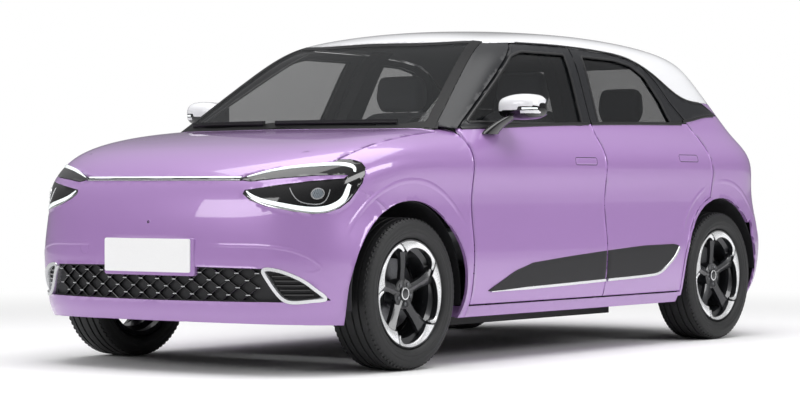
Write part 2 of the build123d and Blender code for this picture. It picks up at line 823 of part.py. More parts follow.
# Floor, battery and drive unit
with BuildPart() as floor_pan:
    with BuildSketch(Plane.YZ):
        shape([
            (bulkhead_back, floor_top - 30), (bulkhead_back, floor_top), (rear_axle - 440, floor_top),
            (rear_axle - 330, 470), (tail_tip - 60, 470), (tail_tip - 60, 440), (rear_axle - 310, 440),
            (rear_axle - 420, floor_top - 30),
        ])
    extrude(amount=floor_half, both=True)
    with Locations((0, door_split - 260, floor_top - 30)):
        Box(1448, 1480, 30, align=(Align.CENTER, Align.CENTER, Align.MIN))
    with Locations((0, tail_at(40, 700) - lid_skin_depth - seal_fit, 440)):
        Box(80, 60, 260, align=(Align.CENTER, Align.MAX, Align.MIN))

with BuildPart() as battery_pack:
    with Locations((0, door_split - 150, floor_top - 30)):
        Box(1120, 1500, 56, align=(Align.CENTER, Align.CENTER, Align.MAX))
    fillet(battery_pack.edges().filter_by(Axis.Z), 60)

arm_z = 192
with BuildPart() as drive_unit:
    with Locations((0, front_axle - 20, arm_z + 40 + seal_fit)):
        Box(520, 380, 340, align=(Align.CENTER, Align.CENTER, Align.MIN))
    fillet(drive_unit.edges().filter_by(Axis.X), 60)

# Wheel arch liners
with BuildPart() as front_liner_left:
    with BuildSketch(Plane.YZ.offset(liner_inner_x)):
        with Locations((front_axle, hub_height)):
            Circle(arch_radius - trim_fit)
            Circle(arch_radius - trim_fit - liner_wall, mode=Mode.SUBTRACT)
            with Locations((0, -arch_radius - 60)):
                Rectangle(3 * arch_radius, 2 * arch_radius, mode=Mode.SUBTRACT)
    extrude(amount=liner_outer_x - liner_inner_x)
    with BuildSketch(Plane.YZ.offset(liner_inner_x)):
        with Locations((front_axle, hub_height)):
            Circle(arch_radius - trim_fit)
            with Locations((0, -arch_radius + 120)):
                Rectangle(3 * arch_radius, 2 * arch_radius, mode=Mode.SUBTRACT)
    extrude(amount=liner_wall)
with BuildPart() as rear_liner_left:
    with BuildSketch(Plane.YZ.offset(floor_half + 1)):
        with Locations((rear_axle, hub_height)):
            Circle(arch_radius - trim_fit)
            Circle(arch_radius - trim_fit - liner_wall, mode=Mode.SUBTRACT)
            with Locations((0, -arch_radius + 26)):
                Rectangle(3 * arch_radius, 2 * arch_radius, mode=Mode.SUBTRACT)
    extrude(amount=liner_outer_x + 14 - floor_half - 1)
    with BuildSketch(Plane.YZ.offset(floor_half + 1)):
        with Locations((rear_axle, hub_height)):
            Circle(arch_radius - trim_fit)
            with Locations((0, -arch_radius + 140)):
                Rectangle(3 * arch_radius, 2 * arch_radius, mode=Mode.SUBTRACT)
    extrude(amount=liner_wall)
with BuildPart() as arch_liners:
    add(front_liner_left.part)
    add(rear_liner_left.part)
    mirror(about=Plane.YZ)

# Front suspension that stays with the body, and the turning knuckles
with BuildPart() as front_subframe:
    with Locations((0, front_axle + 40, arm_z + 20)):
        Box(900, 300, 40)
    with Locations((430, front_axle + 40, arm_z + 20)):
        Box(40, 80, 455 - arm_z - seal_fit, align=(Align.CENTER, Align.CENTER, Align.MIN))
    with BuildSketch(Plane.XY.offset(arm_z)):
        with BuildLine() as line:
            Polyline(
                (kingpin_x, front_axle + 26), (330, front_axle + 190), (330, front_axle - 60),
                (kingpin_x, front_axle - 26), close=True,
            )
        make_face(line.edges())
        with Locations((kingpin_x, front_axle)):
            Circle(26)
    extrude(amount=14)
    mirror(about=Plane.YZ)
ball_z = arm_z + 14 + spindle_clearance
with BuildPart() as knuckle_left:
    with Locations((kingpin_x, front_axle, ball_z)):
        Cylinder(22, 40, align=(Align.CENTER, Align.CENTER, Align.MIN))
    with BuildSketch(Plane.YZ.offset(kingpin_x - 14)):
        with Locations((front_axle, hub_height)):
            Circle(62)
        with Locations((front_axle, ball_z + 80)):
            Rectangle(44, 160)
        with Locations((front_axle, hub_height + 70)):
            Rectangle(60, 140)
    extrude(amount=24)
    with BuildSketch(Plane.YZ.offset(kingpin_x)):
        with Locations((front_axle, hub_height)):
            Circle(spindle_radius)
    extrude(amount=wheel_x + 40 - kingpin_x)
    with Locations((kingpin_x - 60, front_axle, hub_height + 110)):
        Box(130, 50, 40)
    with Locations((strut_x, front_axle, hub_height + 90)):
        Cylinder(26, 270, align=(Align.CENTER, Align.CENTER, Align.MIN))
        Cylinder(44, 6, align=(Align.CENTER, Align.CENTER, Align.MIN))
    with Locations((strut_x, front_axle, hub_height + 150)):
        Cylinder(46, 190, align=(Align.CENTER, Align.CENTER, Align.MIN))
    with BuildSketch(Plane.YZ.offset(wheel_x - 40)):
        with Locations((front_axle + 112, hub_height)):
            Rectangle(64, 120)
    extrude(amount=-34)
    with Locations((kingpin_x - 2, front_axle + 84, hub_height)):
        Box(24, 110, 60)
with BuildPart() as knuckle_right:
    mirror(knuckle_left.part, about=Plane.YZ)

# Rear axle
with BuildPart() as rear_axle_beam:
    with Locations((0, rear_axle - 190, hub_height - 30)):
        Box(2 * 590, 90, 70)
    with BuildPart(mode=Mode.PRIVATE) as arm:
        with BuildSketch(Plane.YZ.offset(570)):
            shape([
                (rear_axle - 460, floor_top + seal_fit), (rear_axle - 720, floor_top + seal_fit),
                (rear_axle - 720, floor_top + 40), (rear_axle - 470, hub_height + 10),
                (rear_axle + 60, hub_height + 40), (rear_axle + 60, hub_height - 50),
            ])
        extrude(amount=50)
        with BuildSketch(Plane.YZ.offset(610)):
            with Locations((rear_axle, hub_height)):
                Circle(70)
        extrude(amount=90)
        with BuildSketch(Plane.YZ.offset(690)):
            with Locations((rear_axle, hub_height)):
                Circle(spindle_radius)
        extrude(amount=wheel_x + 40 - 690)
    add(arm.part)
    mirror(arm.part, about=Plane.YZ)

# Structure behind the nose and at the tail
rail_end = bulkhead_front - seal_fit
with BuildPart() as front_structure:
    with Locations((0, nose_tip + 190, 520)):
        Box(2 * 430, 60, 90)
    with Locations((430, (nose_tip + 190 + rail_end) / 2, 520)):
        Box(56, rail_end - nose_tip - 190, 90)
    with Locations((0, nose_tip + 225, 700)):
        Box(2 * 458, 30, 50)
    with Locations((430, nose_tip + 225, 620)):
        Box(40, 30, 150)
    with Locations((0, nose_tip + 215, 395)):
        Box(2 * 330, 26, 300)
    mirror(about=Plane.YZ)
    with BuildSketch(Plane.XY):
        with Locations((300, nose_tip + 225), (-300, nose_tip + 225)):
            Circle(13)
    stop_top = hood_crown.moved(Location((0, 0, -skin - seal_fit)))
    stops = extrude(to_extrude=stop_top, amount=400, dir=DOWN, mode=Mode.PRIVATE)
    posts = extrude(amount=1000, mode=Mode.PRIVATE)
    add(posts & stops)

with BuildPart() as cowl:
    extrude(to_extrude=hood_crown.moved(Location((0, 0, -40))), amount=14, dir=DOWN)
    with BuildSketch(Plane.XY):
        with BuildLine() as line:
            low = Spline(*both_sides(moved(screen_foot, -30, -62)))
            high = Spline(*both_sides(moved(screen_foot, -30, 74)))
            Line(low @ 0, high @ 0)
            Line(low @ 1, high @ 1)
        make_face(line.edges())
    cut_through()
    with Locations((0, bulkhead_front - seal_fit, 960)):
        Box(200, 164, 30, align=(Align.CENTER, Align.MAX, Align.MIN))

# Seats, dashboard and steering wheel
def make_seat(half, cushion, back, head):
    """A cushion, a leaning back and a head restraint, as one padded form."""
    with BuildPart() as seat:
        for points, wide in ((cushion, half), (back, half - 20), (head, 128)):
            with BuildSketch(Plane.YZ):
                shape(points, corner=16)
            extrude(amount=wide, both=True)
    return seat.part


seat_x = 365
seat_y = door_split - 100
driver_cushion = [(seat_y - 430, 400), (seat_y - 440, 530), (seat_y - 380, 575), (seat_y + 40, 540),
                  (seat_y + 60, 400)]
driver_back = [(seat_y + 20, 430), (seat_y - 20, 580), (seat_y + 120, 1165), (seat_y + 215, 1165),
               (seat_y + 150, 430)]
driver_head = [(seat_y + 150, 1145), (seat_y + 112, 1210), (seat_y + 140, 1335), (seat_y + 215, 1335),
               (seat_y + 240, 1210), (seat_y + 205, 1145)]
with BuildPart() as front_seats:
    with Locations((seat_x, 0, 0)):
        add(make_seat(250, driver_cushion, driver_back, driver_head))
    with Locations((seat_x + 190, seat_y - 180, floor_top), (seat_x - 190, seat_y - 180, floor_top)):
        Box(36, 440, 170, align=(Align.CENTER, Align.CENTER, Align.MIN))
    mirror(about=Plane.YZ)

bench_y = rear_axle - 250
bench_cushion = [(bench_y - 460, floor_top + seal_fit), (bench_y - 480, 520), (bench_y - 430, 575),
                 (bench_y - 20, 545), (bench_y + 40, 470.4), (bench_y - 82, 470.4),
                 (bench_y - 192, floor_top + seal_fit)]
bench_back = [(bench_y + 20, 470.4), (bench_y - 10, 570), (bench_y + 110, 1110), (bench_y + 200, 1110),
              (bench_y + 150, 470.4)]
with BuildPart() as rear_seat:
    for points in (bench_cushion, bench_back):
        with BuildSketch(Plane.YZ):
            shape(points, corner=6)
        extrude(amount=floor_half - 10, both=True)
    with BuildSketch(Plane.YZ) as bench_head:
        shape([(y + bench_y - seat_y - 16, z - 50) for y, z in driver_head], corner=16)
    heads = extrude(bench_head.sketch, amount=110, both=True, mode=Mode.PRIVATE)
    with Locations((330, 0, 0), (-330, 0, 0)):
        add(heads)

dash_points = [(bulkhead_back, 985), (door_lead + 120, 985), (door_lead + 260, 930), (door_lead + 290, 850),
               (door_lead + 240, 700), (door_lead + 120, 620), (bulkhead_back, 600)]
with BuildPart() as dashboard:
    with BuildSketch(Plane.YZ):
        shape(dash_points)
    extrude(amount=690, both=True)
    with Locations((0, door_lead + 250, floor_top)):
        Box(190, 520, 330, align=(Align.CENTER, Align.MIN, Align.MIN))
    with Locations((0, door_lead + 100, floor_top)):
        Box(190, 180, 420, align=(Align.CENTER, Align.MIN, Align.MIN))

wheel_tilt = 24
column_end = (seat_x, door_lead + 350, 905)
column_plane = Plane(origin=column_end, x_dir=(1, 0, 0), z_dir=(0, cos(radians(wheel_tilt)), sin(radians(wheel_tilt))))
with dashboard:
    with BuildSketch(column_plane.offset(-seal_fit)):
        Circle(30)
    extrude(amount=-150)
with BuildPart() as steering_wheel:
    with BuildSketch(column_plane.offset(55)):
        Circle(185)
        Circle(158, mode=Mode.SUBTRACT)
    extrude(amount=26)
    fillet(steering_wheel.edges(), 11)
    with BuildSketch(column_plane.offset(46)):
        Circle(62)
        Rectangle(340, 44)
        with Locations((0, -84)):
            Rectangle(44, 160)
    extrude(amount=24)
    with BuildSketch(column_plane):
        Circle(34)
    extrude(amount=50)

# Door mirrors
with BuildPart() as mirror_left:
    with BuildSketch(Plane.YZ.offset(width / 2 - 70)):
        with Locations((door_lead + 318, 1128)):
            RectangleRounded(130, 96, 44)
    with BuildSketch(Plane.YZ.offset(width / 2 + 10)):
        with Locations((door_lead + 316, 1130)):
            RectangleRounded(152, 118, 52)
    with BuildSketch(Plane.YZ.offset(width / 2 + 96)):
        with Locations((door_lead + 322, 1130)):
            RectangleRounded(136, 104, 48)
    with BuildSketch(Plane.YZ.offset(width / 2 + 122)):
        with Locations((door_lead + 330, 1130)):
            RectangleRounded(84, 62, 28)
    loft()
    with BuildSketch(Plane.XY.offset(1006)):
        with Locations((width / 2 - 40, door_lead + 170)):
            RectangleRounded(110, 96, 30)
    with BuildSketch(Plane.XY.offset(1096)):
        with Locations((width / 2 - 10, door_lead + 290)):
            RectangleRounded(120, 90, 30)
    loft()
    outside = cabin_flank.moved(Location((seal_fit, 0, 0)))
    extrude(to_extrude=outside, amount=400, dir=INWARD, mode=Mode.SUBTRACT)
with BuildPart() as mirror_right:
    mirror(mirror_left.part, about=Plane.YZ)

# Wipers
def make_wiper(pivot_x, reach_x):
    """A flat blade on its arm, lying along the foot of the windscreen."""
    with BuildPart() as wiper:
        points = []
        for share in (0, 0.25, 0.5, 0.75, 1):
            x = pivot_x + (reach_x - pivot_x) * share
            y = cowl_set + 30 + 0.00026 * x * x
            points.append((x, y, top_at(x, y) + 12))
        with BuildLine():
            route = Spline(*points)
        with BuildSketch(Plane(origin=route @ 0, z_dir=route % 0)):
            Rectangle(14, 14)
        sweep(path=route)
    return wiper.part


with BuildPart() as wipers:
    add(make_wiper(560, -60))
    add(make_wiper(-130, -640))

with BuildPart() as cowl_and_wipers:
    add(cowl.part)
    add(wipers.part)
with BuildPart() as suspension:
    add(front_subframe.part)
    add(rear_axle_beam.part)

# The nodes of the car, each written to its own file
with BuildPart() as front_door_right:
    mirror(front_door_left.part, about=Plane.YZ)
with BuildPart() as rear_door_right:
    mirror(rear_door_left.part, about=Plane.YZ)
with BuildPart() as front_glass_right:
    mirror(front_glass_left.part, about=Plane.YZ)
with BuildPart() as rear_glass_right:
    mirror(rear_glass_left.part, about=Plane.YZ)

finished = {
    "body_shell": body_shell,
    "floor_pan": floor_pan,
    "front_structure": front_structure,
    "battery_pack": battery_pack,
    "drive_unit": drive_unit,
    "suspension": suspension,
    "arch_liners": arch_liners,
    "roof_panel": roof_panel,
    "pillar_trims": pillar_trims,
    "windscreen": windscreen,
    "cowl": cowl_and_wipers,
    "front_fenders": front_fenders,
    "front_bumper": front_bumper,
    "lower_grille": lower_grille,
    "headlamps": headlamps,
    "light_bar": light_bar,
    "rear_bumper": rear_bumper,
    "tail_lamps": tail_lamps,
    "dashboard": dashboard,
    "front_seats": front_seats,
    "rear_seat": rear_seat,
    "hood": hood,
    "tailgate": tailgate,
    "tailgate_glass": tailgate_glass,
    "front_door_left": front_door_left,
    "front_door_right": front_door_right,
    "rear_door_left": rear_door_left,
    "rear_door_right": rear_door_right,
    "front_glass_left": front_glass_left,
    "front_glass_right": front_glass_right,
    "rear_glass_left": rear_glass_left,
    "rear_glass_right": rear_glass_right,
    "mirror_left": mirror_left,
    "mirror_right": mirror_right,
    "knuckle_left": knuckle_left,
    "knuckle_right": knuckle_right,
    "steering_wheel": steering_wheel,
}
for name, piece in finished.items():
    piece.part.label = name
    export_step(piece.part, f"parts/{name}.step")

for side, hand in ((1, "left"), (-1, "right")):
    for axle, end in ((front_axle, "front"), (rear_axle, "rear")):
        for blank, kind in ((wheel_blank, "wheel"), (tyre_blank, "tyre")):
            placed = set_wheel(blank, side, axle)
            placed.label = f"{end}_{kind}_{hand}"
            export_step(placed, f"parts/{placed.label}.step")
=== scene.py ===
from math import cos, pi, radians, sin, tau

import bmesh
import bpy
import numpy as np
from mathutils import Matrix, Vector


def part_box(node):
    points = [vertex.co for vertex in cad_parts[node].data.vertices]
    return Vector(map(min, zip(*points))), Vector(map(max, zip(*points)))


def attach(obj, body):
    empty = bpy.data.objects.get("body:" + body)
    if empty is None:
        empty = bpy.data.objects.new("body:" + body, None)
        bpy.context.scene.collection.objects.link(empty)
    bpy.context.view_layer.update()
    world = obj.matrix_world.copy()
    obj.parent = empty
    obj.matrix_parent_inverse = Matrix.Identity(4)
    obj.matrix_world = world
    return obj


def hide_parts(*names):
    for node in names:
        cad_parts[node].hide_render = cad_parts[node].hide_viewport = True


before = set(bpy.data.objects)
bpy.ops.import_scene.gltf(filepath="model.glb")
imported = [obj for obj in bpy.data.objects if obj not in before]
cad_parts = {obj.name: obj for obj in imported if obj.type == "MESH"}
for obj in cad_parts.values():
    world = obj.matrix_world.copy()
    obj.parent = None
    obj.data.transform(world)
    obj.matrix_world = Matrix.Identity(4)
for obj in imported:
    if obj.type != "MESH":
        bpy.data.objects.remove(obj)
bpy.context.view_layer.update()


# Camera and studio
# The camera stands low off the left of the nose, as a long lens does in a studio. A pale
# floor, a softbox overhead and one at the left give the long highlights of a car picture.


def linked(name, data):
    """A new object in the scene."""
    made = bpy.data.objects.new(name, data)
    bpy.context.collection.objects.link(made)
    return made


camera = linked("camera", bpy.data.cameras.new("camera"))
camera.location = (6.9753, -9.7217, 0.7813)
camera.rotation_euler = Vector((-0.59152, 0.80625, -0.0085)).to_track_quat("-Z", "Y").to_euler()
camera.data.sensor_width = 36
camera.data.lens = 111.02
camera.data.clip_end = 200
bpy.context.scene.camera = camera
bpy.context.scene.view_settings.view_transform = "Standard"


def linear(colour):
    """An sRGB hex colour as Blender's linear red, green, blue and alpha."""
    parts = [int(colour[i : i + 2], 16) / 255 for i in (0, 2, 4)]
    return [p / 12.92 if p <= 0.04045 else ((p + 0.055) / 1.055) ** 2.4 for p in parts] + [1]


def put(tree, kind, inputs=(), **settings):
    """Adds a node. Each input takes a value, or another node's output, which is linked."""
    made = tree.nodes.new(kind)
    for key, value in settings.items():
        setattr(made, key, value)
    for key, value in dict(inputs).items():
        if isinstance(value, bpy.types.NodeSocket):
            tree.links.new(value, made.inputs[key])
        else:
            made.inputs[key].default_value = value
    return made


world = bpy.data.worlds.new("studio")
world.use_nodes = True
world.node_tree.nodes.clear()
bpy.context.scene.world = world
tree = world.node_tree
sky = put(tree, "ShaderNodeTexCoord")
height = put(tree, "ShaderNodeSeparateXYZ", {0: sky.outputs["Generated"]})
fade = put(tree, "ShaderNodeValToRGB", {0: height.outputs["Z"]})
ramp = fade.color_ramp.elements
for stop, place, grey in ((ramp[0], 0, 0.26), (ramp[1], 1, 0.9), (ramp.new(0.12), 0.12, 0.24),
                          (ramp.new(0.45), 0.45, 0.5)):
    stop.position = place
    stop.color = (grey, grey, grey * 1.02, 1)
room = put(tree, "ShaderNodeBackground", {"Color": fade.outputs[0], "Strength": 0.85})
plain = put(tree, "ShaderNodeBackground", {"Color": (1, 1, 1, 1), "Strength": 1})
ray = put(tree, "ShaderNodeLightPath")
both = put(tree, "ShaderNodeMixShader", {0: ray.outputs["Is Camera Ray"], 1: room.outputs[0],
                                         2: plain.outputs[0]})
put(tree, "ShaderNodeOutputWorld", {0: both.outputs[0]})


def softbox(name, place, aim, size, power):
    lamp = bpy.data.lights.new(name, "AREA")
    lamp.shape = "RECTANGLE"
    lamp.size, lamp.size_y = size
    lamp.energy = power
    holder = linked(name, lamp)
    holder.location = place
    holder.rotation_euler = (Vector(aim) - Vector(place)).to_track_quat("-Z", "Y").to_euler()


softbox("overhead_softbox", (0.6, -0.6, 4.6), (0, 0, 0.8), (6.5, 3.4), 210)
softbox("left_softbox", (7.5, 1.5, 3.4), (0.8, -0.2, 0.7), (5.0, 1.6), 170)
softbox("nose_softbox", (-1.5, -8.5, 3.6), (0, -1.8, 0.7), (5.5, 1.6), 130)

ground = bpy.data.meshes.new("studio_floor")
ground.from_pydata([(-60, -60, 0), (60, -60, 0), (60, 60, 0), (-60, 60, 0)], [], [(0, 1, 2, 3)])
studio_floor = linked("studio_floor", ground)


def material(name):
    """An empty node material and its tree."""
    made = bpy.data.materials.new(name)
    made.use_nodes = True
    made.node_tree.nodes.clear()
    return made, made.node_tree


def principled(tree, colour, inputs=()):
    """The surface shader with its output. The colour is hex, or another node's output."""
    start = {"Base Color": linear(colour) if isinstance(colour, str) else colour}
    shader = put(tree, "ShaderNodeBsdfPrincipled", {**start, **dict(inputs)})
    put(tree, "ShaderNodeOutputMaterial", {0: shader.outputs[0]})
    return shader


# Painted screed, which is matt and nearly white, so the shadow under the car stays soft.
screed, tree = material("painted_screed")
mottle = put(tree, "ShaderNodeTexNoise", {"Scale": 3.0, "Detail": 4.0})
tone = put(tree, "ShaderNodeMix", {0: mottle.outputs["Fac"], 6: linear("F4F4F4"), 7: linear("FCFCFC")},
           data_type="RGBA")
bare = put(tree, "ShaderNodeBsdfDiffuse", {"Color": tone.outputs[2]})
ray = put(tree, "ShaderNodeLightPath")
whole = put(tree, "ShaderNodeEmission", {"Color": (1, 1, 1, 1), "Strength": 1.0})
spot = put(tree, "ShaderNodeTexCoord")
away = put(tree, "ShaderNodeVectorMath", {0: spot.outputs["Object"]}, operation="LENGTH")
haze = put(tree, "ShaderNodeMapRange", {0: away.outputs["Value"], 1: 2.6, 2: 7.0},
           interpolation_type="SMOOTHSTEP")
far = put(tree, "ShaderNodeMath", {0: haze.outputs[0], 1: ray.outputs["Is Camera Ray"]},
          operation="MULTIPLY")
seen = put(tree, "ShaderNodeMixShader", {0: far.outputs[0], 1: bare.outputs[0], 2: whole.outputs[0]})
put(tree, "ShaderNodeOutputMaterial", {0: seen.outputs[0]})
ground.materials.append(screed)


# Front fenders
# Pressed steel, painted with the body. Every outer panel lies on one form, given here in
# millimetres as in the CAD, so each panel's shading is the form's own and runs on unbroken.
length = 4030
width = 1800
front_overhang = 712
wheelbase = 2663
front_axle = front_overhang - length / 2
rear_axle = front_axle + wheelbase
nose_tip = -length / 2
tail_tip = length / 2
door_lead = front_axle + 435
door_split = front_axle + 1523
hub_height = 324
plan_taper = 31
nose_bow = 0.000112
tail_bow = 0.000085
nose_corner = 550
tail_corner = 380
shoulder = 195
cowl_height = 1035
cowl_set = front_axle + 193
screen_slope = 0.62
screen_bow = 0.00004
screen_crown = front_axle + 543
roof_height = 1540
backlight_slope = 0.95
backlight_foot = tail_tip - 155


def guide(points):
    """A natural spline through a few points, carried on straight at both ends."""
    at = np.array([p[0] for p in points], float)
    value = np.array([p[1] for p in points], float)
    step = np.diff(at)
    slope = np.diff(value) / step
    matrix = np.eye(len(at))
    right = np.zeros(len(at))
    for i in range(1, len(at) - 1):
        matrix[i, i - 1 : i + 2] = (step[i - 1], 2 * (step[i - 1] + step[i]), step[i])
        right[i] = 6 * (slope[i] - slope[i - 1])
    bend = np.linalg.solve(matrix, right)

    def curve(t):
        t = np.asarray(t, float)
        inside = np.clip(t, at[0], at[-1])
        i = np.clip(np.searchsorted(at, inside) - 1, 0, len(step) - 1)
        low = inside - at[i]
        high = at[i + 1] - inside
        cubic = (bend[i] * high**3 + bend[i + 1] * low**3) / (6 * step[i])
        line = (value[i] / step[i] - bend[i] * step[i] / 6) * high
        line = line + (value[i + 1] / step[i] - bend[i + 1] * step[i] / 6) * low
        first = slope[0] - step[0] * bend[1] / 6
        last = slope[-1] + step[-1] * bend[-2] / 6
        beyond = np.where(t < at[0], first * (t - at[0]), last * (t - at[-1]))
        return cubic + line + np.where(t == inside, 0, beyond)

    return curve


side_section = guide([
    (190, 62), (260, 32), (340, 14), (430, 5), (500, 4), (580, 11), (680, 20), (780, 15),
    (860, 6), (910, 11), (960, 32), (1000, 58), (1040, 86), (1100, 116), (1250, 178),
    (1450, 262), (1560, 310),
])
nose_profile = guide([
    (180, 40), (245, 17), (310, 15), (420, 5), (520, 5), (630, 14), (720, 25), (790, 45),
    (850, 90),
])
tail_profile = guide([
    (220, 55), (300, 20), (420, 3), (560, 10), (700, 45), (800, 70), (900, 90), (960, 110),
    (1040, 165),
])
hood_profile = guide([
    (15, 752), (55, 820), (111, 876), (175, 908), (315, 950), (515, 989), (715, 1016),
    (915, 1034), (1115, 1048),
])
roof_profile = guide([
    (803, 78), (1103, 34), (1403, 10), (1703, 0), (2003, 2), (2303, 16), (2603, 46),
    (2903, 94),
])


def soft_max(a, b, reach):
    """The greater of two heights, rounded where they cross."""
    near = np.maximum(reach - np.abs(a - b), 0) / reach
    return np.maximum(a, b) + near**3 * reach / 6


def soft_min(a, b, reach):
    return -soft_max(-a, -b, reach)


def cabin_height(x, y):
    """The windscreen, the roof and the backlight, blended into one another."""
    swept = y - 0.00026 * x * x
    screen = cowl_height + (swept - cowl_set) * screen_slope
    screen = screen - screen_bow * ((swept - screen_crown) ** 2 - 350**2)
    roof = roof_height - roof_profile(y - front_axle) - 0.00013 * x * x
    backlight = 1050 - (y + 0.00016 * x * x - backlight_foot) * backlight_slope
    return soft_min(soft_min(screen, roof, 110), backlight, 60)


def body_form(x, y, z, cover):
    """Below zero inside the body. The cover over it is the hood or the cabin."""
    x = np.abs(x)
    side = (x - width / 2 + side_section(z) + plan_taper * ((y - 300) / 2015) ** 2) * 0.97
    front = nose_tip + nose_profile(z) + nose_bow * x * x + 6.5e-11 * x**4 - y
    rear = y - tail_tip + tail_profile(z) + tail_bow * x * x + 8e-11 * x**4
    around = soft_max(soft_max(side, front, nose_corner), rear, tail_corner)
    hood = hood_profile(y - nose_tip - 0.00012 * x * x) - 0.00001 * x * x
    return soft_max(around, z - (hood if cover == "hood" else cabin_height(x, y)), shoulder)


def read_form(place, cover):
    """How far each place lies from the skin, and the direction straight out of it."""
    x, y, z = place.T
    here = body_form(x, y, z, cover)
    nudge = 0.4
    slope = np.stack([
        body_form(x + nudge, y, z, cover) - body_form(x - nudge, y, z, cover),
        body_form(x, y + nudge, z, cover) - body_form(x, y - nudge, z, cover),
        body_form(x, y, z + nudge, cover) - body_form(x, y, z - nudge, cover),
    ], -1) / (2 * nudge)
    steep = np.linalg.norm(slope, axis=1)
    return here / steep, slope / steep[:, None]


outward = 0.86


def settle(shell, name, body, finishes, choose, cover):
    """Turns a shell into a piece that rides on a body, shaded as the form is."""
    mesh = bpy.data.meshes.new(name)
    shell.normal_update()
    shell.to_mesh(mesh)
    rims = {v.index for v in shell.verts if v.tag}
    shell.free()
    place = np.array([v.co for v in mesh.vertices]) * 1000
    flat = np.array([f.normal for f in mesh.polygons])
    centre = np.array([f.center for f in mesh.polygons]) * 1000
    depth, out = read_form(centre, cover)
    facing = (flat * out).sum(1)
    slope = read_form(place, cover)[1]
    corner = np.zeros(len(mesh.loops), int)
    mesh.loops.foreach_get("vertex_index", corner)
    owner = np.repeat(np.arange(len(mesh.polygons)), [f.loop_total for f in mesh.polygons])
    along = np.abs(facing) > outward
    rim = np.zeros(len(place), bool)
    rim[list(rims)] = True
    wall = np.zeros((len(place), 3))
    np.add.at(wall, corner[~along[owner]], flat[owner[~along[owner]]])
    turned = slope + wall / np.maximum(np.linalg.norm(wall, axis=1), 1e-6)[:, None]
    turned = turned / np.linalg.norm(turned, axis=1)[:, None]
    on_form = slope[corner] * np.sign(facing)[owner][:, None]
    shade = np.where(along[owner][:, None], on_form, flat[owner])
    shade = np.where(rim[corner][:, None], turned[corner], shade)
    mesh.polygons.foreach_set("use_smooth", np.ones(len(mesh.polygons), bool))
    for finish in finishes:
        mesh.materials.append(finish)
    index = choose(centre, depth) if choose else np.zeros(len(centre), int)
    mesh.polygons.foreach_set("material_index", np.asarray(index, np.int32))
    mesh.normals_split_custom_set(shade.tolist())
    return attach(linked(name, mesh), body)


def ease_rim(shell, skin, width_mm):
    """Rounds the rim of the skin faces over, as a pressed or moulded edge is."""
    inside = set(skin)
    rim = {v for f in skin for v in f.verts if any(g not in inside for g in v.link_faces)}
    bmesh.ops.inset_region(shell, faces=skin, thickness=width_mm / 1000, use_boundary=True,
                           use_even_offset=False)
    shell.normal_update()
    for v in shell.verts:
        v.tag = v in rim
    return [v for v in rim if v.is_valid]


def split(shell):
    """Cuts every face into triangles."""
    bmesh.ops.triangulate(shell, faces=[f for f in shell.faces if len(f.verts) > 3])


def read_faces(shell, cover):
    """Each face's height over the skin, and how nearly it faces straight out of it."""
    shell.normal_update()
    centre = np.array([f.calc_center_median() for f in shell.faces]) * 1000
    depth, out = read_form(centre, cover)
    return depth, (np.array([f.normal for f in shell.faces]) * out).sum(1)


def dress(node, body, finishes, choose=None, cover="cabin", cuts=(), ease=1.6, snap=4):
    """A CAD shell with an even mesh laid on the form, eased edges and the form's shading.

    Cuts part the mesh along lines of (y, z), each inside a span of y. Places within snap of
    the skin are set on it.
    """
    reach = 0.035
    shell = bmesh.new()
    shell.from_mesh(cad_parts[node].data)
    bmesh.ops.remove_doubles(shell, verts=shell.verts, dist=0.00002)
    for start, end, low, high in cuts:
        part = [f for f in shell.faces if low < f.calc_center_median().y * 1000 < high]
        part += list({e for f in part for e in f.edges}) + list({v for f in part for v in f.verts})
        across = Vector((0, start[1] - end[1], end[0] - start[0]))
        bmesh.ops.bisect_plane(shell, geom=part, dist=1e-6, plane_no=across,
                               plane_co=(0, start[0] / 1000, start[1] / 1000))
    for _ in range(5):
        split(shell)
        for f, on in zip(shell.faces, read_faces(shell, cover)[1] > outward):
            f.tag = bool(on)
        long = [e for e in shell.edges if e.calc_length() > reach and any(f.tag for f in e.link_faces)]
        if not long:
            break
        bmesh.ops.subdivide_edges(shell, edges=long, cuts=1)
        split(shell)
        facing = read_faces(shell, cover)[1]
        broad = [f for f, along in zip(list(shell.faces), facing) if along > outward]
        kept = set(broad)
        inner = list({e for f in broad for e in f.edges if all(g in kept for g in e.link_faces)})
        bmesh.ops.beautify_fill(shell, faces=broad, edges=inner)
    bmesh.ops.dissolve_degenerate(shell, edges=shell.edges, dist=0.00004)
    split(shell)
    depth, facing = read_faces(shell, cover)
    on = (np.abs(depth) < snap - 1) & (facing > 0.8)
    skin = [f for f, hit in zip(list(shell.faces), on) if hit]
    kept = set(skin)
    free = [v for v in {v for f in skin for v in f.verts} if all(f in kept for f in v.link_faces)]
    for _ in range(3):
        bmesh.ops.smooth_vert(shell, verts=free, factor=0.4, use_axis_x=True, use_axis_y=True,
                              use_axis_z=True)
    touched = list({v for f in skin for v in f.verts})
    place = np.array([v.co for v in touched]).reshape(-1, 3) * 1000
    for _ in range(2):
        gap, out = read_form(place, cover)
        place = place - np.where(np.abs(gap) < snap, gap, 0)[:, None] * out
    for v, point in zip(touched, place):
        v.co = Vector(point / 1000)
    for v in shell.verts:
        v.tag = False
    if ease and skin:
        shell.normal_update()
        rim = ease_rim(shell, skin, ease)
        out = read_form(np.array([v.co for v in rim]) * 1000, cover)[1]
        for v, way in zip(rim, out):
            v.co -= Vector(way) * ease * 0.0008
    piece = settle(shell, node + "_finish", body, finishes, choose, cover)
    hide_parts(node)
    return piece


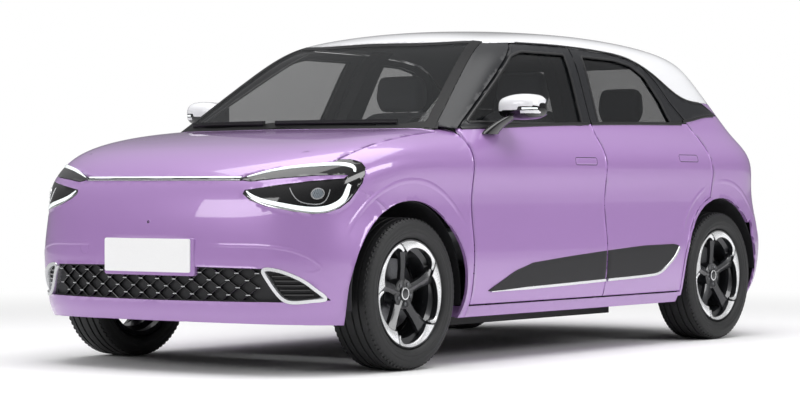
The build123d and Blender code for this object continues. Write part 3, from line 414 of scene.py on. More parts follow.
def texture(tree, kind, scale, detail=2.0, **settings):
    """The value of a pattern in the piece's own space, which stays put as the piece moves."""
    inputs = {"Vector": put(tree, "ShaderNodeTexCoord").outputs["Object"], "Scale": scale}
    if kind == "Noise":
        inputs["Detail"] = detail
    made = put(tree, "ShaderNodeTex" + kind, inputs, **settings)
    return made.outputs["Distance" if kind == "Voronoi" else "Fac"]


def spread(tree, value, low, high):
    """A value from 0 to 1 spread from low to high."""
    return put(tree, "ShaderNodeMapRange", {0: value, 3: low, 4: high}).outputs[0]


def blend(tree, value, low, high):
    """Two hex colours mixed by a value."""
    return put(tree, "ShaderNodeMix", {0: value, 6: linear(low), 7: linear(high)},
               data_type="RGBA").outputs[2]


def relief(tree, value, strength, distance):
    """A value as a bump."""
    return put(tree, "ShaderNodeBump", {"Height": value, "Strength": strength,
                                        "Distance": distance}).outputs[0]


def patterned(name, colour, shader, kind, scale, detail=2.0, rough=None, bump=None, **settings):
    """A material whose colours, roughness or normal follow one pattern."""
    made, tree = material(name)
    value = texture(tree, kind, scale, detail, **settings)
    inputs = dict(shader)
    if rough:
        inputs["Roughness"] = spread(tree, value, *rough)
    if bump:
        inputs["Normal"] = relief(tree, value, *bump)
    principled(tree, colour if isinstance(colour, str) else blend(tree, value, *colour), inputs)
    return made


# Pearl paint: base coat with fine flake under a clear coat. Bright and violet where it faces
# the light, with a fine orange peel that only shows in the highlights.
pearl, tree = material("lilac_pearl_paint")
flake = spread(tree, texture(tree, "Voronoi", 900.0), 0.0, 0.16)
peel = relief(tree, texture(tree, "Noise", 160.0), 0.02, 0.001)
principled(tree, blend(tree, flake, "A47CBA", "C29DD6"), {
    "Metallic": 0.18, "Roughness": 0.36, "IOR": 1.5, "Coat Weight": 1.0, "Coat Roughness": 0.03,
    "Coat IOR": 1.55, "Coat Normal": peel,
})

# Injection-moulded polypropylene, grained and nearly black, for the black plastic parts. On the
# inner faces of the hood and the fenders it stands as painted shade.
grained = patterned("grained_black_polypropylene_and_painted_shade", "17171A", {"Roughness": 0.62}, "Noise", 420.0, 3.0,
                    bump=(0.25, 0.0006))


def painted_outside(centre, depth):
    """Paint on the skin and over its edges, black behind: bare plastic behind the bumpers, painted shade
    behind the hood and the fenders.
    """
    return np.where(depth > -13, 0, 1)


# The fenders' inner faces are black, as painted shade.
dress("front_fenders", "body", [pearl, grained], painted_outside, "hood")

# Hood
# One pressed panel with a rolled lip all round, painted outside and over the lip, and black underneath
# as painted shade.
dress("hood", "hood", [pearl, grained], painted_outside, "hood")

# Bumpers
# Moulded from polypropylene and painted with the body. The front one's outer skin runs round
# the nose from arch to arch, with openings for the lamps and the lower grille.
bumper = dress("front_bumper", "body", [pearl, grained], painted_outside, "hood")
dress("rear_bumper", "body", [pearl, grained], painted_outside)
# The front skin is dished a little behind the plate, so that the plate can lie against it.
plate_height = 490
dish_half = (232, 66)
dish_depth = 10
for v in bumper.data.vertices:
    over = max(abs(v.co.x) * 1000 / dish_half[0], abs(v.co.z * 1000 - plate_height) / dish_half[1])
    if over < 1 and v.co.y < (nose_tip + 30) / 1000:
        v.co.y += dish_depth / 1000 * min(1, (1 - over) * 6)

# Body sides
# The quarter panels over the rear wheels, the sills and the pillars between the doors.
sill_foot = 256
dress("body_shell", "body", [pearl, grained],
      lambda centre, depth: np.where((depth > -16) | (centre[:, 2] < sill_foot), 0, 1))

# Roof
# A white panel that runs down the rear pillars to the belt.
enamel, tree = material("white_enamel")
peel = texture(tree, "Noise", 160.0)
principled(tree, blend(tree, peel, "E2E3E6", "EAEAEC"), {
    "Roughness": 0.3, "Coat Weight": 1.0, "Coat Roughness": 0.03,
    "Coat Normal": relief(tree, peel, 0.02, 0.001),
})
headliner = patterned("knitted_headliner", ("5E5F63", "77787C"), {"Roughness": 0.9}, "Voronoi", 500.0)
dress("roof_panel", "body", [enamel, headliner],
      lambda centre, depth: np.where(depth > -18, 0, 1))

# Windscreen pillars and rear-quarter trim
# Moulded covers in satin charcoal, which make the glass look like one band.
charcoal = patterned("satin_charcoal_abs", "1B1C1F", {"Specular IOR Level": 0.28}, "Noise", 260.0, 3.0,
                     rough=(0.28, 0.4))
gloss_black = patterned("gloss_black_abs", "09090B", {"Coat Weight": 0.35, "Coat Roughness": 0.02},
                        "Noise", 30.0, 4.0, rough=(0.04, 0.1))
dress("pillar_trims", "body", [charcoal])

# Doors
# Steel doors, painted below the belt. Above it, their window frames are covered in the same
# charcoal trim as the pillars.
belt_points = [(-868, 1030), (-558, 1043), (-92, 1062), (220, 1071), (496, 1078), (1102, 1088),
               (1300, 1098)]
everywhere = (-9000, 9000)


def door_finish(centre, depth):
    """Paint below the belt, charcoal above it, and black inside."""
    above = centre[:, 2] > np.interp(centre[:, 1], *np.transpose(belt_points))
    return np.where(depth < -16, 2, np.where(above, 1, 0))


def belt_cuts(low, high):
    """The belt's cuts that cross a door. The first and the last one run out of its ends."""
    pairs = list(zip(belt_points[:-1], belt_points[1:]))
    first, last = everywhere
    return [(a, b, a[0] if a[0] > low + 50 else first, b[0] if b[0] < high - 50 else last)
            for a, b in pairs if a[0] < high and b[0] > low]


hands = (("left", 1), ("right", -1))
for hand, _ in hands:
    for end, span in (("front", (door_lead, door_split)), ("rear", (door_split, 1250))):
        dress(f"{end}_door_{hand}", f"{end}_door_{hand}", [pearl, charcoal, grained],
              door_finish, cuts=belt_cuts(*span))

# Tailgate
# A pressed panel like the doors, with its own pane. Over the pane it is white like the roof.
lid_belt = 1060
lid_brow = 1418


def tailgate_finish(centre, depth):
    """Paint below the belt, black round the pane, white above it, and black inside."""
    outside = np.where(centre[:, 2] > lid_brow, 3, np.where(centre[:, 2] > lid_belt, 2, 0))
    return np.where(depth < -18, 1, outside)


dress("tailgate", "tailgate", [pearl, grained, gloss_black, enamel], tailgate_finish,
      cuts=[((0, level), (100, level), *everywhere) for level in (lid_belt, lid_brow)])

# Glass
# Tempered panes, tinted grey through their thickness, and a laminated windscreen.
flow = (0.03, 0.02)
smooth_glass = {"Roughness": 0.015, "IOR": 1.52}
tinted = patterned("tinted_tempered_glass", "101214", {**smooth_glass, "Alpha": 0.42}, "Noise", 1.5, 0.0,
                   bump=flow)
clear = patterned("laminated_windscreen_glass", "14171A", {**smooth_glass, "Alpha": 0.3}, "Noise", 1.5,
                  0.0, bump=flow)
for hand, _ in hands:
    for end in ("front", "rear"):
        dress(f"{end}_glass_{hand}", f"{end}_door_{hand}", [tinted], ease=0)
dress("tailgate_glass", "tailgate", [tinted], ease=0)
dress("windscreen", "body", [clear], ease=0)

# Headlamps and the bar between them
# Polycarbonate lenses over black bezels. White light guides run round the edge of each lens,
# round a projector with its bright bezel line, and one more runs along the bar.
dress("headlamps", "body", [gloss_black], cover="hood", snap=7)
dress("light_bar", "body", [gloss_black], cover="hood")


def on_skin(known, axis, outside, inside, cover):
    """Places on the skin, sought along one axis, with the direction out of each."""
    first, second = np.broadcast_arrays(*(np.asarray(k, float) for k in known))
    out = np.full(first.shape, float(outside))
    deep = np.full(first.shape, float(inside))
    for _ in range(32):
        middle = (out + deep) / 2
        place = np.insert(np.stack([first, second], -1), axis, middle, axis=-1)
        under = body_form(*np.moveaxis(place, -1, 0), cover) < 0
        deep = np.where(under, middle, deep)
        out = np.where(under, out, middle)
    place = np.insert(np.stack([first, second], -1), axis, deep, axis=-1)
    way = read_form(place.reshape(-1, 3), cover)[1].reshape(place.shape)
    return place, way


def on_nose(x, z):
    return on_skin((x, z), 1, nose_tip - 300, nose_tip + 1100, "hood")


def on_tail(x, z):
    return on_skin((x, z), 1, tail_tip + 300, tail_tip - 700, "cabin")


def on_flank(y, z, cover="cabin"):
    return on_skin((y, z), 0, 1400, 300, cover)


def on_top(x, y):
    return on_skin((x, y), 2, 1900, 400, "cabin")


def curve_through(points, count, closed=False):
    """Even places on a smooth curve through a few points, of any number of columns."""
    points = np.array(points, float)
    if closed:
        points = np.vstack([points[-3:], points, points[:3]])
    run = np.concatenate([[0], np.cumsum(np.linalg.norm(np.diff(points[:, :2], axis=0), axis=1))])
    low, high = (run[3], run[-3]) if closed else (run[0], run[-1])
    at = np.linspace(low, high, count, endpoint=not closed)
    if len(points) == 2:
        return np.stack([np.interp(at, run, column) for column in points.T], -1)
    return np.stack([guide(list(zip(run, column)))(at) for column in points.T], -1)


def quads(rows, wide, looped=False, ring=True):
    """Faces between neighbouring rows of places, each row a ring unless told otherwise."""
    faces = []
    for i in range(rows if looped else rows - 1):
        j = (i + 1) % rows
        faces += [(i * wide + k, i * wide + (k + 1) % wide, j * wide + (k + 1) % wide, j * wide + k)
                  for k in range(wide if ring else wide - 1)]
    return faces


def ends(rows, wide):
    """The two faces that close the ends of a run of rings."""
    return [tuple(range(wide)), tuple((rows - 1) * wide + k for k in range(wide))]


soft_crown = ((-1, 0.4), (-0.7, 1), (0.7, 1), (1, 0.4))


def strip(place, way, half, rise, sink=3.0, closed=False, crown=soft_crown):
    """A closed strip along a path on a skin. The crown gives its section above the skin."""
    ahead = np.roll(place, -1, 0) - np.roll(place, 1, 0)
    if not closed:
        ahead[0] = place[1] - place[0]
        ahead[-1] = place[-1] - place[-2]
    across = np.cross(way, ahead)
    across /= np.linalg.norm(across, axis=1)[:, None]
    half = np.broadcast_to(np.asarray(half, float), len(place))
    rise = np.broadcast_to(np.asarray(rise, float), len(place))
    rows = []
    for side, up in ((-1, None), *crown, (1, None)):
        lift = rise * up if up is not None else np.full(len(place), -sink)
        rows.append(place + across * (half * side)[:, None] + way * lift[:, None])
    wide = len(rows)
    faces = quads(len(place), wide, closed) + ([] if closed else ends(len(place), wide))
    return np.stack(rows, 1).reshape(-1, 3), faces


def drawn(lay, run, half, rise, finish=0, **more):
    """A strip on the skin along a run of (first, second), with its finish."""
    return (*strip(*lay(run[:, 0], run[:, 1]), half, rise, **more), finish)


def level_run(start, end, level, count):
    """A run at one level."""
    return np.column_stack([np.linspace(start, end, count), np.full(count, float(level))])


def circle(count, start=0.0):
    """Even places round the unit circle."""
    turn = np.linspace(0, tau, count, endpoint=False) + start
    return np.stack([np.cos(turn), np.sin(turn)], -1)


def sheet(low, high, lay, rise, counts, ease):
    """A closed sheet between two edges drawn as (first, second), laid on a skin by lay()."""
    sink = 3.0
    start = curve_through(low, counts[0])
    end = curve_through(high, counts[0])
    share = np.linspace(ease, 1 - ease, counts[1])
    share = np.array([0, 0.25 * ease, 0.6 * ease, *share, 1 - 0.6 * ease, 1 - 0.25 * ease, 1])
    flat = start[:, None] * (1 - share)[None, :, None] + end[:, None] * share[None, :, None]
    place, way = lay(flat[..., 0], flat[..., 1])
    fall = np.minimum(1, np.minimum(share, 1 - share) / ease)
    fall = np.sqrt(1 - (1 - fall) ** 2)
    run = np.minimum(np.arange(counts[0]), np.arange(counts[0])[::-1]) / 3
    taper = np.sqrt(1 - (1 - np.minimum(run, 1)) ** 2)
    lift = rise * np.minimum(fall[None, :], taper[:, None])
    top = (place + way * lift[..., None]).reshape(-1, 3)
    under = (place - way * sink).reshape(-1, 3)
    n, m = flat.shape[:2]
    faces = []
    for quad in quads(n, m, ring=False):
        faces += [quad, tuple(n * m + k for k in quad[::-1])]
    rim = [i * m for i in range(n)] + [(n - 1) * m + j for j in range(1, m)]
    rim += [i * m + m - 1 for i in range(n - 2, -1, -1)] + [j for j in range(m - 2, 0, -1)]
    for a, b in zip(rim, rim[1:] + rim[:1]):
        faces.append((a, b, n * m + b, n * m + a))
    return np.vstack([top, under]), faces


def weld(name, body, finishes, parts, crease=38):
    """One piece from closed shells in millimetres, each with the number of its finish."""
    shell = bmesh.new()
    for places, faces, finish in parts:
        made = [shell.verts.new(Vector(place) / 1000) for place in places]
        for face in faces:
            shell.faces.new([made[i] for i in face]).material_index = finish
    bmesh.ops.remove_doubles(shell, verts=shell.verts, dist=0.00001)
    bmesh.ops.dissolve_degenerate(shell, edges=shell.edges, dist=0.00001)
    bmesh.ops.triangulate(shell, faces=[f for f in shell.faces if len(f.verts) > 4])
    bmesh.ops.recalc_face_normals(shell, faces=shell.faces)
    mesh = bpy.data.meshes.new(name)
    shell.to_mesh(mesh)
    shell.free()
    for finish in finishes:
        mesh.materials.append(finish)
    mesh.polygons.foreach_set("use_smooth", np.ones(len(mesh.polygons), bool))
    mesh.set_sharp_from_angle(angle=radians(crease))
    piece = linked(name, mesh)
    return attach(piece, body)


def mirrored(parts):
    """The same shells on the other side of the car."""
    return [(np.asarray(places) * (-1, 1, 1), faces, *rest) for places, faces, *rest in parts]


def both_sides(parts):
    return parts + mirrored(parts)


def on_hand(parts, sign):
    """Shells drawn for the left side, on the side that the sign gives."""
    return parts if sign > 0 else mirrored(parts)


# Frosted acrylic light guide, milk white and lit, so it stays the brightest line on the nose.
guide_white = patterned("frosted_acrylic_light_guide", ("DFE6E8", "F6FAFA"), {
    "Roughness": 0.25, "Emission Color": linear("F2FAF8"), "Emission Strength": 0.45,
    "Coat Weight": 0.6}, "Noise", 300.0)
# Vacuum-metallised plastic, bright and a little hazy, as on bezels and trim strips. It also
# makes painted highlights: the bars on the grille's crossings and the glint along each headlamp lens.
bright = patterned("satin_metallised_abs_and_painted_highlights", "D9DADC", {"Metallic": 0.85}, "Noise", 60.0, 3.0,
                   rough=(0.2, 0.3))
# Projector lens: solid clear glass over a dark bowl, which shows one sharp highlight.
lens_glass = patterned("pressed_lens_glass", ("5C646C", "AAB4BC"),
                       {"Metallic": 0.5, "Roughness": 0.06, "Coat Weight": 1.0}, "Wave", 60.0,
                       wave_type="RINGS")

# Each line is drawn through (across, height, half its width).
blade_guide = [(455, 817, 2), (534, 840, 6), (629, 858, 8), (736, 869, 9), (790, 868, 9.5),
               (813, 856, 9), (820, 838, 5)]
drop_guide = [(480, 758, 3), (505, 741, 6), (575, 716, 8), (680, 694, 9), (744, 684, 10),
              (783, 691, 11), (806, 716, 12), (815, 750, 12), (819, 786, 9)]
bezel_line = [(659, 771, 2), (678, 741, 2.2), (703, 716, 2.4), (735, 706, 2.6), (764, 708, 2.6),
              (777, 729, 2.4), (782, 765, 2)]
# The lower glint is a painted highlight, a bright metallised strip along the foot of the lens.
lower_glint = [(488, 739, 1.5), (575, 702, 2.5), (680, 681, 3), (748, 670, 3), (785, 678, 3),
               (810, 706, 2.5), (824, 745, 2)]
projector = (752, 748)
projector_radius = 21
lit = []
for line, rise, finish in ((blade_guide, 3.0, 0), (drop_guide, 3.0, 0), (bezel_line, 2.2, 1),
                           (lower_glint, 1.6, 1)):
    path = curve_through(line, 48)
    lit.append(drawn(on_nose, path, path[:, 2], rise, finish))
ring = circle(28) * (0.8 * projector_radius, projector_radius)
lit.append(drawn(on_nose, ring + projector, 3.2, 3.4, 1, closed=True))
for share in (0.3, 0.62):
    lit.append(drawn(on_nose, ring * share + projector, projector_radius * 0.3, 5.0 - 3.0 * share, 2,
                     closed=True))
weld("headlamp_guides", "body", [guide_white, bright, lens_glass], both_sides(lit))

bar_half = 428
bar_lines = [drawn(on_nose, level_run(-bar_half, bar_half, 816, 90), 3.6, 2.2),
             drawn(on_nose, level_run(-bar_half, bar_half, 804.5, 90), 2.0, 1.4, 1)]
weld("light_bar_guide", "body", [guide_white, bright], bar_lines)

# Plate and its plinth
# A blank aluminium plate with rounded corners on a painted plinth of the bumper.
plate_white = patterned("reflective_sheeting_on_aluminium", ("F0F0F0", "FAFAFA"),
                        {"Roughness": 0.35, "Coat Weight": 0.4}, "Voronoi", 700.0)


def slab(size, centre, corner, facing, edge=1.5, steps=8):
    """A rounded plate standing across the car. Its face looks to the nose or to the tail."""
    wide, high, thick = size
    reach = np.array([wide / 2 - corner, high / 2 - corner])
    ring = circle(4 * steps, pi / 4 / steps)
    outer = np.sign(ring) * reach + ring * corner
    inner = np.sign(ring) * reach + ring * (corner - edge)
    rows = []
    for flat, deep in ((outer, thick), (outer, edge), (inner, 0)):
        rows.append(np.stack([flat[:, 0] + centre[0], np.full(len(flat), centre[1] - facing * deep),
                              flat[:, 1] + centre[2]], -1))
    return np.vstack(rows), ends(3, len(ring)) + quads(3, len(ring))


weld("front_plate", "body", [plate_white],
     [(*slab((480, 140, 9), (0, nose_tip + 3.6, plate_height), 9, -1), 0)])
weld("plate_plinth", "body", [pearl],
     [(*slab((506, 158, 42), (7, nose_tip + 7.5, plate_height - 5), 12, -1, 4), 0)])

# Lower grille
# A moulded lattice of thin bars in gloss black, set back in the bumper. Short bright bars on its
# crossings are painted highlights, and a bright ring runs round the louvres of each corner intake.
grille_setback = 26
grille_top = [(-790, 312), (-768, 354), (-732, 392), (-676, 424), (-640, 437), (-578, 442), (0, 449),
              (578, 442), (640, 437), (676, 424), (732, 392), (768, 354), (790, 312)]
grille_foot = 304


def copies_tree():
    """Geometry Nodes that set one small shape on every point, turned and sized there."""
    tree = bpy.data.node_groups.new("set_copies", "GeometryNodeTree")
    for label, kind in (("Points", "Geometry"), ("Copy", "Object"), ("Finish", "Material")):
        tree.interface.new_socket(label, in_out="INPUT", socket_type="NodeSocket" + kind)
    tree.interface.new_socket("Pieces", in_out="OUTPUT", socket_type="NodeSocketGeometry")
    given = put(tree, "NodeGroupInput").outputs
    source = put(tree, "GeometryNodeObjectInfo", {"Object": given["Copy"]}, transform_space="ORIGINAL")
    turned, sized = (put(tree, "GeometryNodeInputNamedAttribute", {"Name": name},
                         data_type="FLOAT_VECTOR") for name in ("turn", "size"))
    placed = put(tree, "GeometryNodeInstanceOnPoints", {
        "Points": given["Points"], "Instance": source.outputs["Geometry"],
        "Rotation": turned.outputs[0], "Scale": sized.outputs[0],
    })
    whole = put(tree, "GeometryNodeRealizeInstances", {0: placed.outputs[0]})
    dressed = put(tree, "GeometryNodeSetMaterial", {0: whole.outputs[0], "Material": given["Finish"]})
    put(tree, "NodeGroupOutput", {0: dressed.outputs[0]})
    return tree


set_copies = copies_tree()


def copies(name, body, finish, shape, frames, sizes=None):
    """Copies of a shape, one in each frame of (place in mm, x axis, y axis), as one piece."""
    source = bpy.data.meshes.new(name + "_one")
    places, faces = shape
    source.from_pydata([tuple(np.asarray(p) / 1000) for p in places], [], faces)
    one = linked(name + "_one", source)
    points = bpy.data.meshes.new(name)
    points.from_pydata([tuple(np.asarray(f[0]) / 1000) for f in frames], [], [])
    turns = []
    for _, x_axis, y_axis in frames:
        x_axis = Vector(x_axis).normalized()
        z_axis = x_axis.cross(Vector(y_axis)).normalized()
        turns.append(Matrix((x_axis, z_axis.cross(x_axis), z_axis)).transposed().to_euler())
    points.attributes.new("turn", "FLOAT_VECTOR", "POINT").data.foreach_set("vector", np.ravel(turns))
    sizes = np.ones((len(frames), 3)) if sizes is None else np.asarray(sizes, float)
    points.attributes.new("size", "FLOAT_VECTOR", "POINT").data.foreach_set("vector", sizes.ravel())
    holder = linked(name + "_points", points)
    modifier = holder.modifiers.new("set_copies", "NODES")
    modifier.node_group = set_copies
    for label, value in (("Copy", one), ("Finish", finish)):
        modifier[set_copies.interface.items_tree[label].identifier] = value
    made = bpy.data.meshes.new_from_object(holder.evaluated_get(bpy.context.evaluated_depsgraph_get()))
    holder.modifiers.remove(modifier)
    bpy.data.objects.remove(holder)
    bpy.data.objects.remove(one)
    made.name = name
    piece = linked(name, made)
    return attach(piece, body)


def bar(size, edge):
    """A bevelled bar along X, as corners and faces."""
    long, wide, high = (value / 2 for value in size)
    ring = [(wide, high - edge), (wide - edge, high), (edge - wide, high), (-wide, high - edge),
            (-wide, -high), (wide, -high)]
    corners = np.array([(x, y, z) for x in (-long, long) for y, z in ring])
    first, last = ends(2, 6)
    return corners, [first[::-1], last] + quads(2, 6)


def grille_top_at(x):
    return np.interp(x, *np.transpose(grille_top))


lattice_pitch = 92
lattice_row = 30
lattice_half = 590
bars, bar_sizes, highlight_dashes = [], [], []
for row in range(6):
    level = grille_foot - 3 + row * lattice_row
    above = level + lattice_row
    for step in range(-8, 9):
        x = (step + row % 2 / 2) * lattice_pitch
        if abs(x) > lattice_half - 30 or level > grille_top_at(x) + 4:
            continue
        here, out = on_nose(x, level)
        if level < grille_top_at(x) - 4:
            highlight_dashes.append((here - out * (grille_setback - 15), np.cross(out, (0, 0, 1)), (0, 0, 1)))
        for next_x in (x - lattice_pitch / 2, x + lattice_pitch / 2):
            far, far_out = on_nose(next_x, above)
            if abs(next_x) > lattice_half or above > grille_top_at(next_x) + 30:
                continue
            inner, outer = here - out * (grille_setback - 8), far - far_out * (grille_setback - 8)
            bars.append(((inner + outer) / 2, outer - inner, np.cross(out, outer - inner)))
            bar_sizes.append((np.linalg.norm(outer - inner) / 100, 1, 1))
copies("grille_lattice", "body", gloss_black, bar((100, 4.5, 13), 1.5), bars, bar_sizes)
# The short bright bars on the crossings are painted highlights, where the lattice catches the light.
copies("grille_dashes", "body", bright, bar((20, 3.4, 5), 1), highlight_dashes)

intake_ring = [(578, 436), (623, 440), (672, 425), (728, 392), (762, 352), (780, 314), (758, 309),
               (655, 311), (620, 352), (588, 408)]
path = curve_through(intake_ring, 90, closed=True)
place, way = on_nose(path[:, 0], path[:, 1])
middle = place.mean(0)
place = middle + (place - middle) * 0.965
intake = [(*strip(place - way * 5, way, 9.5, 9, sink=22, closed=True), 0)]
for level, near, far in ((333, 652, 752), (352, 640, 742), (371, 628, 728), (390, 622, 706),
                         (409, 612, 676)):
    run = level_run(near, far, level, 12)
    place, way = on_nose(run[:, 0], run[:, 1])
    intake.append((*strip(place - way * 20, way, 4, 6, sink=4), 1))
weld("intake_rings", "body", [bright, gloss_black], both_sides(intake))

# Bumper details
# A round cover over the towing eye, a parking sensor, and the raised line over each intake.
eye_place = (-372, 514)
sensor_place = (0, 629)
small = [drawn(on_nose, circle(36) * 26 + eye_place, 1.2, 0.6, closed=True)]
for radius, lift, finish in ((8.5, 0.8, 0), (4.5, 1.2, 1)):
    ring = circle(36) * radius + sensor_place
    small.append(drawn(on_nose, ring, radius * 0.45, lift, finish, closed=True))
weld("nose_small_parts", "body", [pearl, gloss_black], small)
brow = curve_through([(300, 537), (460, 535), (626, 529), (713, 508), (765, 470), (778, 440),
                      (752, 424), (712, 426)], 70)
crest = ((-1, 0), (-0.5, 0.6), (0, 1), (0.5, 0.6), (1, 0))


def tapered(count, run_in):
    """A share that rises to 1 over the first places of a run and falls over the last."""
    return np.minimum(np.minimum(np.arange(count), np.arange(count)[::-1]) / run_in, 1)


weld("bumper_brows", "body", [pearl],
     both_sides([drawn(on_nose, brow, 9, 1.6 * tapered(70, 14), sink=1, crown=crest)]))

# Door cladding
# Grained black panels along the foot of the doors, cut at the gap between them, over a bright
# strip that rises at the tail end.
clad_top = [(-751, 320), (-557, 401), (-414, 435), (-108, 457), (214, 476), (553, 493), (840, 495),
            (892, 486)]
clad_foot = [(-751, 317), (-728, 316), (345, 341), (636, 349), (727, 367), (800, 408), (868, 455),
             (892, 484)]
strip_line = [(-735, 316), (-200, 328), (345, 341), (620, 349), (710, 361), (775, 392), (850, 441),
              (885, 477)]
door_spans = {"front": (-751, 211), "rear": (221, 892)}


def edge_between(points, span):
    """An edge's places inside a span along the car."""
    at = np.linspace(*span, 24)
    return np.stack([at, np.interp(at, *np.transpose(points))], -1)


def clip_run(points, span):
    """The part of a fine run of (place, height) that lies inside a span along the car."""
    return points[(points[:, 0] >= span[0]) & (points[:, 0] <= span[1])]


def on_doors(name, finishes, by_end):
    """One piece on each door, from shells drawn for the two left ones."""
    for hand, sign in hands:
        for end, parts in by_end.items():
            weld(f"{name}_{end}_{hand}", f"{end}_door_{hand}", finishes, on_hand(parts, sign))


strip_run = curve_through(strip_line, 160)
cladding = {}
for end, span in door_spans.items():
    run = clip_run(strip_run, span)
    taper = np.clip((run[:, 0] + 760) / 300, 0.35, 1)
    edges = [edge_between(points, span) for points in (clad_foot, clad_top)]
    cladding[end] = [(*sheet(*edges, on_flank, 7.0, counts=(70, 8), ease=0.08), 0),
                     drawn(on_flank, run, 8.5 * taper, 10.5, 1, sink=1)]
on_doors("cladding", [grained, bright], cladding)

# Door handles
# Flush pads in the body colour, each in a thin dark gap, that swing out when unlocked.
handle_places = {"front": (37, 894), "rear": (1005, 916)}
handle_half = np.array([93, 17])
handle_corner = 11
pad_half = handle_half - 3
handles = {}
for end, middle in handle_places.items():
    outline = np.sign(circle(64)) * (handle_half - handle_corner) + circle(64) * handle_corner
    low = [(middle[0] + side * pad_half[0], middle[1] - pad_half[1]) for side in (-1, 1)]
    high = [(y, z + 2 * pad_half[1]) for y, z in low]
    handles[end] = [drawn(on_flank, outline + middle, 1.5, 0.25, 1, closed=True),
                    (*sheet(low, high, on_flank, 1.6, counts=(40, 6), ease=0.2), 0)]
on_doors("handle", [pearl, grained], handles)

# Belt strips and window rubbers
# Extruded rubber in gloss black round each pane, and a wider strip along the belt.
rubber = patterned("extruded_epdm_rubber", "0D0D0F", {}, "Noise", 80.0, rough=(0.3, 0.42))
pane_outlines = {
    "front": [(door_lead + 82, 1062), (door_lead + 628, 1380), (door_lead + 728, 1405),
              (door_split - 2, 1405), (door_split - 30, 1250), (door_split - 68, 1068)],
    "rear": [(door_split + 78, 1074), (door_split + 118, 1250), (door_split + 150, 1402),
             (rear_axle - 700, 1396), (rear_axle - 560, 1374), (rear_axle - 462, 1318),
             (rear_axle - 392, 1200), (rear_axle - 360, 1090)],
}
belt_spans = {"front": (-858, 209), "rear": (224, 1116)}


def outline_run(points, spacing=14.0, corner=12.0):
    """Even places round a closed outline with its corners cut a little."""
    points = np.array(points, float)
    run = []
    for i in range(len(points)):
        before, here, after = points[i - 1], points[i], points[(i + 1) % len(points)]
        back, on = before - here, after - here
        cut = min(corner, np.linalg.norm(back) / 3, np.linalg.norm(on) / 3)
        start, end = here + back / np.linalg.norm(back) * cut, here + on / np.linalg.norm(on) * cut
        run += [start, start * 0.25 + here * 0.5 + end * 0.25, end]
    run = np.array(run)
    closed = np.vstack([run, run[:1]])
    length_at = np.concatenate([[0], np.cumsum(np.linalg.norm(np.diff(closed, axis=0), axis=1))])
    at = np.linspace(0, length_at[-1], int(length_at[-1] / spacing), endpoint=False)
    return np.stack([np.interp(at, length_at, closed[:, k]) for k in (0, 1)], -1)


belt_run = curve_through(belt_points[:-1], 200) + (0, 2)
rubbers = {end: [drawn(on_flank, outline_run(outline), 6.5, 1.8, sink=2, closed=True),
                 drawn(on_flank, clip_run(belt_run, belt_spans[end]), 8, 4.5, sink=2)]
           for end, outline in pane_outlines.items()}
on_doors("rubbers", [rubber], rubbers)
trim_foot = curve_through([(rear_axle - 232, 1103), (rear_axle - 100, 1118), (rear_axle + 15, 1134),
                           (rear_axle + 120, 1139)], 40)
trim_head = [(760, 1449), (1092, 1449), (1503, 1433), (1678, 1411), (1779, 1379), (1897, 1319),
             (2009, 1251), (2112, 1215), (2240, 1203)]
trim_head = curve_through([(door_lead + back, level) for back, level in trim_head], 120)
parts = [drawn(on_flank, trim_foot, 8, 4.5, sink=2), drawn(on_flank, trim_head, 5, 2.2, sink=2)]
weld("body_trim_strips", "body", [rubber], both_sides(parts))

# Wheel arch lips
# The edge of each arch is pressed out a little, which draws a soft second line round it.
lip_radius = 478


def arch_line(axle, start, end, cover):
    """A raised line round an arch, between two angles in degrees."""
    count = 60
    turn = np.radians(np.linspace(start, end, count))
    y, z = axle + lip_radius * np.cos(turn), hub_height + lip_radius * np.sin(turn)
    return (*strip(*on_flank(y, z, cover), 13, 2.4 * tapered(count, 9), sink=1, crown=crest), 0)


body_lips = [arch_line(front_axle, 36, 150, "hood"), arch_line(rear_axle, 8, 99, "cabin")]
weld("arch_lips", "body", [pearl], both_sides(body_lips))
door_lip = [arch_line(rear_axle, 111, 153, "cabin")]
for hand, sign in hands:
    weld(f"arch_lip_door_{hand}", f"rear_door_{hand}", [pearl], on_hand(door_lip, sign))

# Wheels
# Cast alloy in gloss black with five twisted spokes. The crescents round the rim are turned
# bright on a lathe and lacquered. A cast-iron disc and its caliper show between the spokes.
wheel_x = 762
rim_half = 93
rim_radius = 232
bead_radius = 216
well_radius = 196
spoke_count = 5
disc_radius = 150
first_spoke = 95

machined = patterned("machined_lacquered_aluminium", "EDEEEF",
                     {"Metallic": 0.55, "Coat Weight": 0.5, "Coat Roughness": 0.05},
                     "Noise", 500.0, rough=(0.22, 0.34))
alloy = patterned("gloss_black_cast_alloy", "232427",
                  {"Metallic": 0.3, "Coat Weight": 0.7, "Coat Roughness": 0.06},
                  "Noise", 40.0, 4.0, rough=(0.24, 0.34))
iron = patterned("turned_cast_iron", ("56575A", "8A8B8E"), {"Metallic": 0.9, "Roughness": 0.35},
                 "Noise", 220.0, 5.0)


def lathe(outline, turns=96, closed=True):
    """Turns an outline of (outboard, radius) about the wheel's axle."""
    outline = np.array(outline, float)
    angle = np.arange(turns) * tau / turns
    places = np.stack([
        np.broadcast_to(outline[:, 0], (turns, len(outline))),
        np.cos(angle)[:, None] * outline[:, 1], np.sin(angle)[:, None] * outline[:, 1],
    ], -1).reshape(-1, 3)
    return places, quads(turns, len(outline), True, closed)


def loft(sections):
    """A closed shell through sections that each have as many places."""
    sections = np.array(sections, float)
    rows, wide = sections.shape[:2]
    return sections.reshape(-1, 3), quads(rows, wide) + ends(rows, wide)


def polar(outboard, radius, degrees):
    """A place on the wheel: degrees run from the tail side up over the top."""
    turn = np.radians(degrees)
    return np.stack(np.broadcast_arrays(outboard, radius * np.cos(turn), radius * np.sin(turn)), -1)


